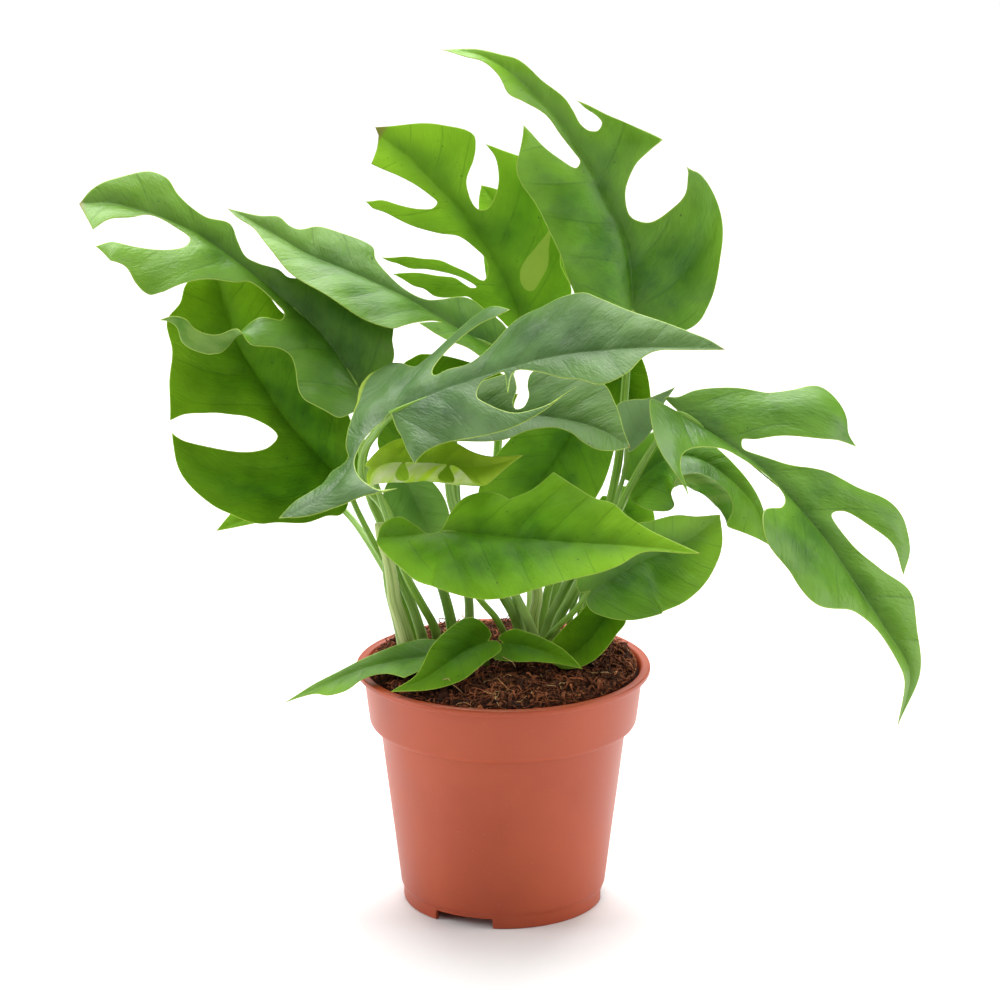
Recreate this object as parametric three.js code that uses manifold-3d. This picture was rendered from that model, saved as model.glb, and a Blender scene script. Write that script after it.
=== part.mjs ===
// A small split-leaf monstera in a plastic nursery pot. Millimetres, +Z up, the pot's
// axis on Z and its foot on the ground. The front of the plant looks along -Y.
// Pot, soil, stems and leaves are separate solids. Each leaf is one solid: its stalk
// stands in a plain hole in the soil and runs up under the blade.

import * as THREE from 'three';
import { mergeVertices } from 'three/addons/utils/BufferGeometryUtils.js';
import Module from 'manifold-3d';

const wasm = await Module();
wasm.setup();

// ---- Driving dimensions ----

const POT_HEIGHT = 100;
const ROUND = 48; // flats around the pot and the soil
const LIP_RADIUS = 60; // a 12 cm pot, measured over the lip
const LIP_HEIGHT = 2.6;
const BAND_TOP_RADIUS = 57;
const BAND_FOOT_RADIUS = 54.6;
const BAND_FOOT_Z = 77;
const WALL_TOP_RADIUS = 50.4;
const WALL_FOOT_RADIUS = 42;
const WALL_FOOT_Z = 7;
const WALL = 1.2;
const FLOOR = 1.4;
const FOOT_RADIUS = 41;
const FOOT_WIDTH = 2;
const FOOT_HEIGHT = 5.5;
const NOTCH_COUNT = 3;
const NOTCH_HEIGHT = 4.2;
const NOTCH_ANGLE = THREE.MathUtils.degToRad(36);
const FIRST_NOTCH = THREE.MathUtils.degToRad(-114); // a little left of the front
const DRAIN_COUNT = 6;
const DRAIN_RADIUS = 3;
const DRAIN_CIRCLE = 27;

const CLEARANCE = 0.35; // between pieces that lie against each other
const SOIL_EDGE_Z = 96.5;
const SOIL_CROWN_Z = 103;
const SOIL_FALL = 3.5; // the mound's drop from its crown to SHOULDER_RADIUS
const SHOULDER_RADIUS = 55;
const CRUMB = 0.5; // height of the soil's lumps
const HOLE_FLOOR_Z = 74;
const UPRIGHT_Z = [99, 105]; // stalks and stems stand upright through these heights
const HOLE_PLAY = 0.7; // between a stalk and its hole

const BLADE = 0.8; // thickness of a leaf
const EDGE_STEP = 8; // longest straight stretch in a leaf's edge
const SHEET_STEP = 11; // spacing of the points within a leaf
const ROW_STEP = 10; // spacing of the rows they lie in
const EDGE_MARGIN = 4; // how far they keep from the edge
const STALK_SIDES = 5;
const STEM_SIDES = 8;
const UNDER_BLADE = 0.3; // share of the midrib's length that the stalk runs on under
const RIB_END = 0.5; // radius at which the stalk ends under the blade
const RIB_DEPTHS = [0.8, 0.9, 0.6]; // of its middle under the blade's, from its start on
const STALK_STEP = 30; // longest straight stretch of a stalk

const NO_WAVE = [0, 40, 0];
const WAVE_REACH = 25; // distance from the midrib at which a wave has its full height
const WAVE_LIMIT = 1.6; // it grows no further than to the square of this
const HALF_SHIFT = 1.6; // of the left half's waves from the right half's, in radians
const CORNER = 1; // third value of an edge point where the edge turns sharply

// ---- Colours ----

const TERRACOTTA = '#b4583f';
const SOIL_BROWN = '#3a2318';
const DEEP_GREEN = '#3f7a12';
const PALE_GREEN = '#8fb07a';
const NEW_GREEN = '#a3b82c';
const SHEATH_GREEN = '#c2cc84';

// ---- Leaves ----
// rib: the midrib in space, from the stalk to the tip. back: where the midrib's line goes
// on behind the stalk, through a hanging lobe. facing: the way the upper side looks, at
// even steps from the first rib point to the last. fold: the angles in degrees by which
// the right half rises from the midrib at the stalk and at the tip, then the left half's.
// bend: curvature of the right and left half, per mm. wave: height and length of the
// waves along the edges, and where along the midrib they begin, in radians. left and
// right: the edge from stalk to tip, as distance along the midrib and distance out from
// it. foot: where the stalk stands in the soil. stalk: its route from there up to the
// rib. radius: of the stalk at the foot and at the blade.

const LEAVES = {
  leaf_front_top: {
    colour: PALE_GREEN,
    rib: [[-44, -46, 219], [-21, -48, 230], [-5, -52, 236], [18, -60, 245], [54, -70, 251],
      [85, -72, 251]],
    back: [[-48, -46.5, 216.5], [-54, -56, 210.5], [-65, -76, 197], [-80, -84, 189]],
    facing: [[-0.7, -0.6, 0.35], [-0.5, -0.45, 0.7], [0, -0.37, 0.93], [0, -0.5, 0.85],
      [0, -0.6, 0.8], [0, -0.6, 0.8], [0, -0.5, 0.85]],
    fold: [[-4, 18], [-4, 18]],
    bend: [-0.011, -0.008],
    wave: [1, 44, 1],
    left: [[-5, 2], [-10.5, 1], [-16, 0], [-22, 0], [-28, 0.5], [-32.5, 2.5], [-36.5, 6],
      [-39, 10], [-40.5, 15], [-41, 19.5], [-39.5, 27, CORNER], [-42, 20.5], [-44.5, 14],
      [-51, 8], [-63, 3], [-69, -3, CORNER], [-61, -6], [-52.5, -7], [-33, -9.5], [-31, -5.5],
      [-28.5, -3.5], [-26.5, -3.5], [-23, -6], [-18, -9], [-13, -10.5], [-7, -12.5], [-5, -15.5],
      [-4, -21], [-3.5, -26], [-3, -31], [-2, -36.5], [1, -40], [3, -42.5], [6, -38], [9, -30.5],
      [12, -26], [14.5, -27], [25, -33.5], [36, -42], [42, -40], [48, -35, CORNER], [43, -33],
      [36, -32], [29, -28], [23, -22], [19, -14.5], [20, -10], [25, -10], [33, -9], [42, -15],
      [53, -27], [64, -28], [74, -29], [81, -28], [86, -25], [101, -17], [122, -8], [132, -4]],
    right: [[0, 10], [1, 16], [1.5, 23], [3, 31, CORNER], [6.5, 29], [11, 27], [16.5, 26],
      [22, 26], [27.5, 27], [51, 31], [67, 26], [83, 18, CORNER], [74, 22], [65, 24], [55, 24],
      [42, 15], [38, 10], [40, 3], [46, 1.5], [49, 1.5], [52, 14, CORNER], [54, 3], [63, 6],
      [75, 12], [84, 15], [93, 19], [102, 14], [107, 6], [112, 2], [124, 1]],
    foot: [-40.5, 4.5],
    stalk: [[-43, 4.5, 117], [-46, 4, 130], [-47, 2, 143.5], [-46, -0.5, 153], [-46, -9.5, 165],
      [-49, -10, 171.5], [-53, -10, 176], [-56, -10, 181], [-56.5, -12, 187.5], [-55, -16, 195.5],
      [-51, -27, 204.5]],
    radius: [2.4, 1.5],
  },
  leaf_left_long: {
    colour: PALE_GREEN,
    rib: [[-2, 14, 228], [-20, 14, 238.5], [-34, 15, 247], [-62, 18, 260], [-78, 21, 266],
      [-94, 24, 275], [-111, 26, 284]],
    facing: [[0.1, -0.5, 0.85], [0.1, -0.45, 0.9], [0.1, -0.45, 0.9], [0.1, -0.5, 0.85]],
    fold: [[22, 20], [22, 20]],
    bend: [-0.016, -0.016],
    wave: [1, 36, 0],
    left: [[-3, -7], [3, -12], [13, -11], [21, -13], [34, -14, CORNER], [29, -7], [26, -3],
      [29, -6], [35, -15], [39, -21], [42, -25], [48, -26], [66, -25], [83, -20], [88, -18],
      [97, -13], [104, -9], [111, -4], [118, -3]],
    right: [[-5, 4], [1, 11], [7, 13], [13, 14], [17, 15], [21, 15], [25, 13], [28, 10], [31, 7],
      [35, 4], [39, 3], [43, 3], [48, 4], [57, 8], [61, 11], [64, 16], [77, 16], [89, 14],
      [95, 8], [99, 7], [104, 8], [111, 4]],
    foot: [-14, 16],
    stalk: [[-14, 17, 120], [-16, 19, 138], [-20, 22, 167], [-20, 24, 188], [-10, 22, 209]],
    radius: [2, 1.3],
  },
  leaf_left_curled: {
    colour: PALE_GREEN,
    rib: [[-58, 4, 215], [-62, 5.5, 221.9], [-69, 8, 231.8], [-77, 10.5, 240.6], [-97, 12, 257.5],
      [-119, 9, 275.5], [-131, 7, 282.5], [-143, 5, 287.5], [-156, 3, 291.5], [-168, 1, 291.5]],
    facing: [[0.2, -0.75, 0.6], [0.1, -0.7, 0.7], [0.1, -0.65, 0.75], [0.1, -0.6, 0.8],
      [0.1, -0.6, 0.8]],
    fold: [[30, 22], [22, 18]],
    bend: [-0.012, -0.014],
    wave: [1.4, 44, 0.4],
    left: [[-4, -1], [-7, -6], [-7, -10], [-6, -16], [-1, -20], [7, -25], [12, -25], [17, -23],
      [26, -19], [35, -21], [42, -26], [50, -31], [60, -38], [72, -42], [84, -46],
      [97, -49, CORNER], [86, -41], [74, -34], [62, -27], [54, -21], [48, -15], [43, -10],
      [44, -6], [48, -5], [58, -4], [63, -5], [68, -10], [80, -19], [89, -28], [98, -36, CORNER],
      [104, -39], [113, -37], [118, -33], [130, -34], [137, -26, CORNER], [131, -25], [116, -22],
      [102, -17], [95, -11], [94, -5], [100, -3], [112, -1], [120, -7], [130, -12],
      [137, -17, CORNER], [139, -8]],
    right: [[-3, 3], [-1, 9], [2, 16], [5, 19], [9, 21], [14, 25], [30, 27], [42, 16], [51, 8],
      [56, 8], [64, 5], [70, 4], [76, 7], [82, 11], [91, 8], [98, 9], [104, 12], [109, 17],
      [116, 18], [127, 11], [136, 5]],
    foot: [-32, 3],
    stalk: [[-35, 3, 117.5], [-38, 3.5, 126], [-41.5, 4, 134.5], [-44, 5, 142.5], [-49.5, 9, 157],
      [-54, 11, 167.5], [-58, 9, 196.5], [-58, 7, 207.5]],
    radius: [2.1, 1.5],
  },
  leaf_left_hanging: {
    colour: DEEP_GREEN,
    rib: [[-64, 22, 168], [-70, 22, 176], [-79, 22, 186], [-89, 22, 198], [-98, 22, 213],
      [-106, 22, 226], [-111, 23, 239], [-115, 26, 253], [-117, 30, 261]],
    facing: [[-0.1, -0.9, 0.3], [0, -1, 0.1], [0, -1, 0.1], [0, -0.9, 0.3]],
    fold: [[36, 30], [12, 12]],
    bend: [-0.024, -0.008],
    wave: [1.2, 50, 0],
    left: [[-6, -4], [-7, -9], [-4, -13], [-1, -21], [5, -29], [18, -40], [27, -45], [33, -47],
      [42, -48], [53, -44], [60, -42, CORNER], [56, -41], [52, -39], [43, -29], [36, -18],
      [34, -12], [35, -7], [39, -7], [47, -12], [52, -18], [58, -25], [63, -33],
      [64, -40, CORNER], [73, -32], [81, -26], [92, -24], [97, -17], [103, -13]],
    right: [[-4, 3], [-2, 12], [9, 16], [14, 19], [24, 23], [41, 28], [61, 29], [76, 26],
      [84, 22], [93, 19], [103, 11]],
    foot: [-35.5, 9],
    stalk: [[-38, 9, 115.5], [-41, 9.5, 124], [-44.5, 10.5, 132.5], [-52.5, 17, 145.5],
      [-60, 23, 159]],
    radius: [1.5, 1.1],
  },
  leaf_top_centre: {
    colour: DEEP_GREEN,
    rib: [[7, 38, 236], [4, 38, 244], [-2, 38, 257], [-9, 37, 269], [-18, 36, 282],
      [-28, 34, 293], [-38, 32, 304], [-50, 30, 313]],
    facing: [[0, -0.95, 0.3], [0, -0.95, 0.3], [0, -0.95, 0.3], [0.1, -0.9, 0.4]],
    fold: [[26, 18], [16, 14]],
    bend: [-0.014, -0.01],
    wave: [1, 40, 1],
    left: [[-3, -5], [4, -9], [10, -13], [14, -15], [18, -17], [21, -22], [24, -26], [28, -29],
      [34, -31], [38, -34], [43, -36], [48, -38, CORNER], [45, -34], [41, -29], [35, -23],
      [30, -18], [25, -16], [21, -14], [20, -12], [25, -14], [31, -17.5], [36, -21.5],
      [41, -26.5], [45, -31], [54, -34.5], [63, -37, CORNER], [56, -32], [46, -25], [40, -19],
      [35, -16], [28, -12], [22, -9], [21, -8], [22, -6], [25, -4], [29, -3], [34, -4], [43, -7],
      [50, -13], [60, -18], [73, -23], [81, -26], [89, -26, CORNER], [80, -21], [72, -17],
      [65, -12], [61, -8], [61, -5], [65, -5], [71, -6], [81, -9], [89, -11], [95, -12, CORNER],
      [96, -5]],
    right: [[-4, 8], [-1, 18], [4, 24], [14, 24], [20, 27], [27, 27, CORNER], [21, 22], [16, 19],
      [12, 14], [9, 9], [10, 7], [13, 6], [19, 9], [23, 17], [26, 25], [31, 33], [39, 38],
      [48, 38], [54, 32], [58, 29], [64, 26, CORNER], [58, 25], [53, 21], [49, 16], [46, 9],
      [48, 6], [52, 6], [59, 10], [63, 18], [66, 22], [71, 25], [75, 24], [82, 18], [92, 9],
      [101, 2, CORNER]],
    foot: [14, 3.5],
    stalk: [[10, 4.5, 117], [6, 9, 124], [4, 13, 127.5], [-2, 38, 149.5], [-2, 51, 180.5],
      [2.5, 49, 206.5]],
    radius: [2, 1.5],
  },
  leaf_top_right: {
    colour: DEEP_GREEN,
    rib: [[52, 14, 245], [51, 12, 263], [48, 10, 276], [42, 8, 289], [36, 6, 302], [28, 4, 315],
      [21, 2, 326], [13, 0, 335], [3, -4, 345], [-10, -8, 353], [-24, -8, 355]],
    facing: [[0, -0.95, 0.3], [0, -1, 0.1], [0, -1, 0.15], [0, -0.9, 0.4], [0.2, -0.4, 0.9]],
    fold: [[16, 14], [38, 26]],
    bend: [-0.01, -0.022],
    wave: [1.2, 46, 0.5],
    left: [[-6, -7], [-4, -14], [2, -21], [10, -25], [28, -28], [45, -27], [53, -27], [68, -27],
      [78, -27], [89, -23], [99, -13, CORNER], [96, -13], [85, -12], [76, -9], [68, -5], [69, -2],
      [73, -2], [84, -3], [94, -3], [105, -6], [115, -9], [122, -6], [130, -4], [137, -5]],
    right: [[-6, 6], [-9, 13], [-9, 21], [-5, 27], [6, 32], [15, 35], [28, 40], [40, 39],
      [50, 35, CORNER], [45, 34], [38, 30], [35, 21], [34, 12], [36, 8], [39, 6], [48, 8],
      [53, 11], [58, 17], [60, 24], [61, 31, CORNER], [68, 25], [79, 18], [86, 13.5],
      [90, 10.5, CORNER], [86, 11.5], [82, 13.5], [78, 14], [76, 11], [78, 8], [82, 6.5], [88, 7],
      [93, 7.5], [105, 6], [117, 6], [124, 4]],
    foot: [16.5, 9],
    stalk: [[19, 9, 115.5], [23, 9, 124.5], [27, 8, 133], [39, 8, 152.5], [46, 10, 179],
      [48.5, 13, 203.5], [50, 15, 224]],
    radius: [2.1, 1.5],
  },
  leaf_right_drooping: {
    colour: PALE_GREEN,
    rib: [[70, -14, 210], [78, -16, 205], [90, -19, 198], [102, -22, 190], [111, -25, 181],
      [128, -30, 162], [138, -33, 148], [152, -36, 127], [162, -38, 109], [158, -38, 86]],
    facing: [[0.2, -0.55, 0.8], [0.35, -0.55, 0.75], [0.45, -0.6, 0.65], [0.6, -0.65, 0.45],
      [0.75, -0.6, 0.25]],
    fold: [[26, 20], [26, 20]],
    bend: [-0.012, -0.012],
    wave: [1.2, 44, 0],
    left: [[-8, -2], [-4, -5], [0, -11], [6, -17], [16, -25], [26, -32], [32, -39], [38, -49],
      [48, -45], [54, -42], [60, -43, CORNER], [47, -28], [39, -18], [31, -8], [27, -5], [29, -2],
      [34, -3], [44, -8], [59, -21], [72, -28], [82, -34], [94, -34], [103, -31],
      [109, -21, CORNER], [98, -24], [84, -19], [74, -14], [72, -9], [85, -8], [101, -13],
      [115, -19], [124, -15], [132, -10], [149, -3]],
    right: [[-8, 2], [-12, 4], [-10, 12], [0, 28], [12, 39], [22, 43, CORNER], [14, 36], [11, 28],
      [12, 21], [16, 14], [24, 6], [35, 4], [49, 1], [54, 3], [56, 10], [52, 23], [60, 33],
      [76, 31], [93, 32], [106, 14], [121, 6], [137, 7], [156, 3]],
    foot: [19.5, 1.5],
    stalk: [[22.5, 1, 118.5], [27, -0.5, 127.5], [31.5, -2, 136.5], [41, -2, 153],
      [50.5, -2, 174.5], [60.5, -5, 193.5], [65.5, -9, 201.5]],
    radius: [2.1, 1.4],
  },
  leaf_right_curled: {
    colour: DEEP_GREEN,
    rib: [[53, 6, 175], [66, 4, 186], [76, 2, 187], [89, -2, 181], [100, -6, 170],
      [108, -10, 153]],
    facing: [[0, -0.6, 0.8], [0.2, -0.6, 0.75], [0.4, -0.6, 0.6], [0.6, -0.6, 0.4]],
    fold: [[10, 8], [10, 8]],
    bend: [-0.006, -0.004],
    left: [[-3, -5], [2, -11], [12, -15], [24, -15], [34, -12], [44, -10], [55, -7], [66, -4]],
    right: [[-4, 4], [-2, 12], [4, 21], [12, 26], [20, 25], [25, 19], [32, 17], [42, 18],
      [54, 16], [66, 8]],
    foot: [31, 3.5],
    stalk: [[35, 5, 128], [41, 7, 149], [48, 7, 168]],
    radius: [1.4, 1.1],
  },
  leaf_right_heart: {
    colour: DEEP_GREEN,
    rib: [[35, -16, 136], [45, -19, 143], [56, -22, 151], [64, -25, 155], [78, -30, 165],
      [86, -32, 173]],
    facing: [[0, -0.9, 0.35], [0, -0.9, 0.35], [0.1, -0.9, 0.4]],
    fold: [[20, 14], [20, 14]],
    bend: [-0.012, -0.014],
    left: [[-4, -2], [-2, -7], [6, -12], [15, -15], [25, -15], [36, -14], [50, -11], [59, -5]],
    right: [[-3, 2], [-3, 7], [1, 12], [11, 19], [24, 23], [41, 21], [50, 17], [59, 9]],
    foot: [16.5, -5],
    stalk: [[18, -5.5, 112.5], [21, -6.5, 116.5], [25, -9, 121.5], [29, -12, 126.5],
      [33, -15, 133]],
    radius: [1.4, 1.1],
  },
  leaf_front_heart: {
    colour: DEEP_GREEN,
    rib: [[-25, -46, 170], [-19, -48, 171], [2, -56, 171], [25, -66, 172], [52, -78, 174],
      [76, -88, 174]],
    facing: [[0, -0.65, 0.75], [0, -0.7, 0.7], [0, -0.75, 0.65], [0, -0.7, 0.7]],
    fold: [[26, 18], [14, 12]],
    bend: [-0.014, -0.01],
    wave: [1, 48, 0.6],
    left: [[2, -3], [4, -8], [8, -15], [14, -18], [20, -18], [25, -16, CORNER], [34, -21],
      [41, -29, CORNER], [51, -24], [62, -19], [70, -17], [77, -12], [87, -7], [103, -2]],
    right: [[-4, 1], [-11, -4], [-18, -8], [-25, -5], [-26, 3], [-20, 12], [-11, 21], [-2, 29],
      [10, 33], [25, 33], [42, 29], [60, 20], [79, 11], [87, 3], [103, 1]],
    foot: [2, 7],
    stalk: [[0, 3, 112.5], [-2.5, -4, 120], [-9, -19, 133], [-15.5, -32, 146], [-21, -41, 157]],
    radius: [1.4, 1.1],
  },
  leaf_back_centre: {
    colour: DEEP_GREEN,
    rib: [[34, 24, 201], [23, 25, 183], [10, 26, 162], [-2, 24, 139]],
    facing: [[0, -0.95, 0.25], [0, -1, 0.1], [0, -0.95, 0.25]],
    fold: [[30, 22], [14, 12]],
    bend: [-0.018, -0.01],
    left: [[-5, -4], [-6, -10], [-1, -15], [9, -19], [27, -23], [47, -21], [62, -12]],
    right: [[-6, 3], [-7, 10], [-1, 17], [9, 20], [26, 21], [36, 22], [49, 21], [58, 17],
      [66, 10]],
    foot: [15.5, 19.5],
    stalk: [[16, 19.5, 111.5], [17, 20, 116.5], [18.5, 21, 124.5], [23.5, 25, 136.5],
      [28.5, 31, 160.5], [31, 32, 181.5]],
    radius: [2.1, 1.3],
  },
  leaf_centre_shaded: {
    colour: PALE_GREEN,
    rib: [[-20, -14, 213], [-2, -20, 212], [22, -30, 212], [38, -36, 209], [50, -40, 203]],
    facing: [[0, -0.45, 0.9], [0, -0.6, 0.8], [0.1, -0.65, 0.75], [0.2, -0.6, 0.75]],
    fold: [[18, 14], [18, 14]],
    bend: [-0.012, -0.012],
    left: [[-3, -4], [4, -10], [12, -15], [20, -19, CORNER], [24, -11], [24, -5], [26, -2],
      [29, -3], [30, -8], [28, -13], [28, -19], [33, -22], [43, -23], [56, -20], [63, -13],
      [70, -5]],
    right: [[-4, 5], [-5, 15], [-2, 23], [3, 27], [8, 24], [22, 19], [29, 16], [36, 10], [46, 6],
      [53, 7], [59, 10], [66, 11], [72, 7]],
    foot: [8, 8.5],
    stalk: [[5, 8, 117], [0, 6.5, 127], [-10.5, 4, 145], [-21, 0, 169.5], [-21, -4, 196]],
    radius: [2.4, 1.4],
  },
  leaf_back_right: {
    colour: DEEP_GREEN,
    rib: [[39, 32, 230], [45, 33, 217], [51, 32, 205], [59, 28, 191]],
    facing: [[0, -0.95, 0.3], [0, -1, 0.1]],
    fold: [[18, 16], [18, 16]],
    bend: [-0.014, -0.014],
    left: [[-4, -4], [2, -10], [9, -12], [16, -12], [24, -11], [33, -8], [40, -4]],
    right: [[-4, 3], [-2, 9], [5, 14], [16, 15], [29, 12], [39, 5]],
    foot: [18.5, 14.5],
    stalk: [[21, 16.5, 122], [23, 18, 130], [29, 21, 142], [39, 30, 173.5], [42.5, 38, 201]],
    radius: [1.7, 1.2],
  },
  leaf_right_young: {
    colour: NEW_GREEN,
    rib: [[50, -2, 193], [56, -1, 201], [62, -2, 210], [69, -4, 218]],
    facing: [[0, -0.9, 0.4], [0, -0.9, 0.4]],
    fold: [[8, 8], [8, 8]],
    bend: [-0.006, -0.006],
    left: [[-2, -3], [1, -8], [6, -12], [12, -13], [16, -10], [20, -5], [26, -2]],
    right: [[-2, 2], [4, 4], [13, 4], [21, 2]],
    foot: [25.5, 3.5],
    stalk: [[29, 4, 125], [36, 4, 142], [43, 4, 160], [49, 2, 181]],
    radius: [1.2, 0.9],
  },
  leaf_new_rolled: {
    colour: NEW_GREEN,
    rib: [[-53, -24, 190], [-45, -26, 192], [-30, -29, 193], [-12, -33, 193], [-2, -35, 195],
      [8, -37, 199]],
    facing: [[0, -0.7, 0.7], [0, -0.7, 0.7], [0, -0.8, 0.6]],
    fold: [[14, 14], [14, 14]],
    bend: [-0.02, -0.012],
    left: [[-2, -1], [2, -5], [8, -9], [14, -11], [24, -11], [33, -10], [40, -7], [48, -4],
      [56, -2]],
    right: [[-1, 2], [2, 8], [7, 11], [13, 12], [18, 10], [27, 12], [31, 11], [36, 8], [45, 5],
      [54, 3]],
    foot: [-26.5, 4],
    stalk: [[-28, 1, 115], [-33, -5, 127], [-40, -13, 144], [-45, -19, 163], [-50, -23, 181]],
    radius: [1.4, 1.1],
  },
  leaf_middle_small: {
    colour: DEEP_GREEN,
    rib: [[-40, 15, 173], [-34, 14, 161], [-26, 10, 143]],
    facing: [[0, -0.95, 0.3], [0, -0.95, 0.3]],
    fold: [[8, 8], [8, 8]],
    bend: [-0.004, -0.004],
    left: [[-3, -4], [3, -9], [10, -11], [17, -11], [24, -9], [31, -5]],
    right: [[-4, 3], [-2, 8], [3, 12], [13, 14], [24, 11], [31, 6]],
    foot: [-20, 10],
    stalk: [[-21.5, 11, 115], [-23.5, 12, 123.5], [-26.5, 13, 133.5], [-32.5, 17, 156]],
    radius: [2.6, 1.3],
  },
  leaf_back_small: {
    colour: DEEP_GREEN,
    rib: [[44, 26, 163], [52, 26, 155], [62, 24, 141]],
    facing: [[0, -0.95, 0.3], [0, -0.95, 0.3]],
    fold: [[8, 8], [8, 8]],
    bend: [-0.004, -0.004],
    left: [[-3, -3], [2, -8], [8, -10], [15, -9], [22, -5]],
    right: [[-3, 2], [-1, 7], [7, 11], [18, 10], [25, 6]],
    foot: [31.5, 9.5],
    stalk: [[31.5, 11, 118], [34, 16, 133], [39, 22, 150]],
    radius: [1.3, 1],
  },
  leaf_low_right: {
    colour: DEEP_GREEN,
    rib: [[44, -4, 128], [39, -9, 119], [31, -13.5, 110.5], [20, -15.5, 105]],
    facing: [[0.1, -0.85, 0.5], [0.1, -0.8, 0.5], [0.1, -0.7, 0.7], [0.1, -0.5, 0.85]],
    fold: [[18, 14], [18, 14]],
    bend: [-0.014, -0.014],
    left: [[-3, -3], [1, -6], [6, -9], [11, -8], [15, -8], [23, -8], [30, -7], [34, -5]],
    right: [[-3, 3], [-1, 6], [2, 8], [5, 9], [13, 10], [21, 11], [31, 10], [35, 7]],
    foot: [30, -2],
    stalk: [[31, -2, 113], [34, -1, 122], [39, -1, 128]],
    radius: [1.3, 1],
  },
  leaf_low_pointed: {
    colour: DEEP_GREEN,
    rib: [[0, -7, 111], [10, -13, 112], [22, -21, 110], [32, -28, 107]],
    facing: [[0, -0.5, 0.85], [0, -0.5, 0.85], [0, -0.5, 0.85]],
    fold: [[20, 14], [20, 14]],
    bend: [-0.02, -0.02],
    left: [[-3, -2], [-1, -5], [3, -7], [9, -6], [18, -5], [26, -4], [33, -2]],
    right: [[-3, 3], [-1, 7], [2, 12], [7, 13], [15, 12], [22, 8], [30, 4]],
    foot: [-2, -6],
    stalk: [[-1.5, -6.5, 107]],
    radius: [1.2, 1],
  },
  leaf_low_front: {
    colour: DEEP_GREEN,
    rib: [[-6, -16, 115], [-14, -23, 114], [-20, -29, 112], [-32, -38, 106], [-45, -42, 102]],
    facing: [[0, -0.6, 0.75], [0, -0.42, 0.9], [0, -0.35, 0.93]],
    fold: [[16, 12], [16, 12]],
    bend: [-0.016, -0.016],
    left: [[-3, -2], [-1, -7], [6, -10], [16, -12], [25, -13], [31, -11], [40, -6]],
    right: [[-3, 2], [-3, 7], [-1, 11], [3, 13], [11, 12], [22, 10], [29, 7], [38, 3]],
    foot: [-7, -12],
    stalk: [[-7, -14, 109]],
    radius: [1.2, 1],
  },
  leaf_low_left: {
    colour: DEEP_GREEN,
    rib: [[-28, -11, 107], [-42, -16, 107], [-56, -21, 105], [-70, -27, 101], [-88, -32, 94]],
    facing: [[0, -0.3, 0.95], [0, -0.3, 0.95]],
    fold: [[18, 10], [18, 10]],
    bend: [-0.004, -0.004],
    left: [[-4, -3], [-2, -8], [5, -12], [12, -16], [19, -19, CORNER], [21, -15], [24, -11],
      [29, -9], [35, -9], [43, -12], [49, -10], [53, -4], [60, -1]],
    right: [[-4, 2], [-4, 7], [2, 9], [11, 8], [24, 5.5], [37, 3.5], [51, 2.5], [60, 1]],
    foot: [-25, -8],
    stalk: [[-26, -9, 105]],
    radius: [1.2, 1],
  },
  leaf_back_left: {
    colour: DEEP_GREEN,
    rib: [[-73, 68, 150], [-86, 72, 146], [-103, 74, 141], [-121, 74, 134]],
    facing: [[0, -0.5, 0.85], [-0.1, -0.5, 0.85], [-0.1, -0.5, 0.85]],
    fold: [[8, 8], [8, 8]],
    bend: [-0.004, -0.004],
    left: [[-5, -4], [-2, -8], [6, -10], [14, -9], [27, -6], [41, -3]],
    right: [[-5, 4], [-4, 12], [4, 18], [14, 18], [26, 15], [38, 9], [46, 4]],
    foot: [-33, 13],
    stalk: [[-38, 20, 112], [-49, 38, 128], [-64, 61, 144]],
    radius: [1.5, 1.2],
  },
  leaf_back_top: {
    colour: DEEP_GREEN,
    rib: [[13, 62, 237], [6, 68, 257], [-2, 72, 273], [-9, 74, 283]],
    facing: [[0, -0.6, 0.8], [0, -0.7, 0.7], [0, -0.8, 0.6]],
    fold: [[8, 8], [8, 8]],
    bend: [-0.004, -0.004],
    left: [[-6, -4], [-2, -12], [8, -17], [21, -16], [36, -11], [47, -6]],
    right: [[-6, 5], [-3, 13], [6, 18], [16, 18], [28, 14], [40, 8], [48, 4]],
    foot: [9.5, 21.5],
    stalk: [[11, 28, 118], [11, 34, 125], [12.5, 58, 152.5], [14, 72, 191.5]],
    radius: [1.3, 1.1],
  },
  leaf_middle_back: {
    colour: DEEP_GREEN,
    rib: [[-31, 13, 207], [-24, 12, 209], [-14, 10, 211], [-4, 8, 212.5], [6, 5, 212.5]],
    facing: [[-0.1, -0.8, 0.6], [0, -0.8, 0.6], [0, -0.8, 0.6]],
    fold: [[14, 10], [14, 10]],
    bend: [-0.008, -0.008],
    left: [[-2, -4], [-6, -8], [-8, -14], [-6, -18], [-3, -19], [1, -20], [5, -19], [10, -17],
      [17, -14], [24, -11], [30, -8], [34, -6, CORNER], [31, -2], [26, 0], [31, 0], [35, 0]],
    right: [[-2, 4], [-7, 6], [-13, 1], [-17, 3], [-21, 9], [-22, 15], [-20, 20], [-14, 20],
      [-8, 16], [0, 14], [9, 16], [20, 15], [32, 13], [38, 8], [38, 4]],
    foot: [-14, 21.5],
    stalk: [[-14, 22.5, 111.5], [-15.5, 25, 128], [-17.5, 27, 144.5], [-18.5, 30, 160.5],
      [-20, 32, 179.5], [-23.5, 26, 193.5], [-27.5, 19, 202]],
    radius: [1.3, 1],
  },
};

// ---- Stems: the pale sheathed shoots that the stalks stand around ----

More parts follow.
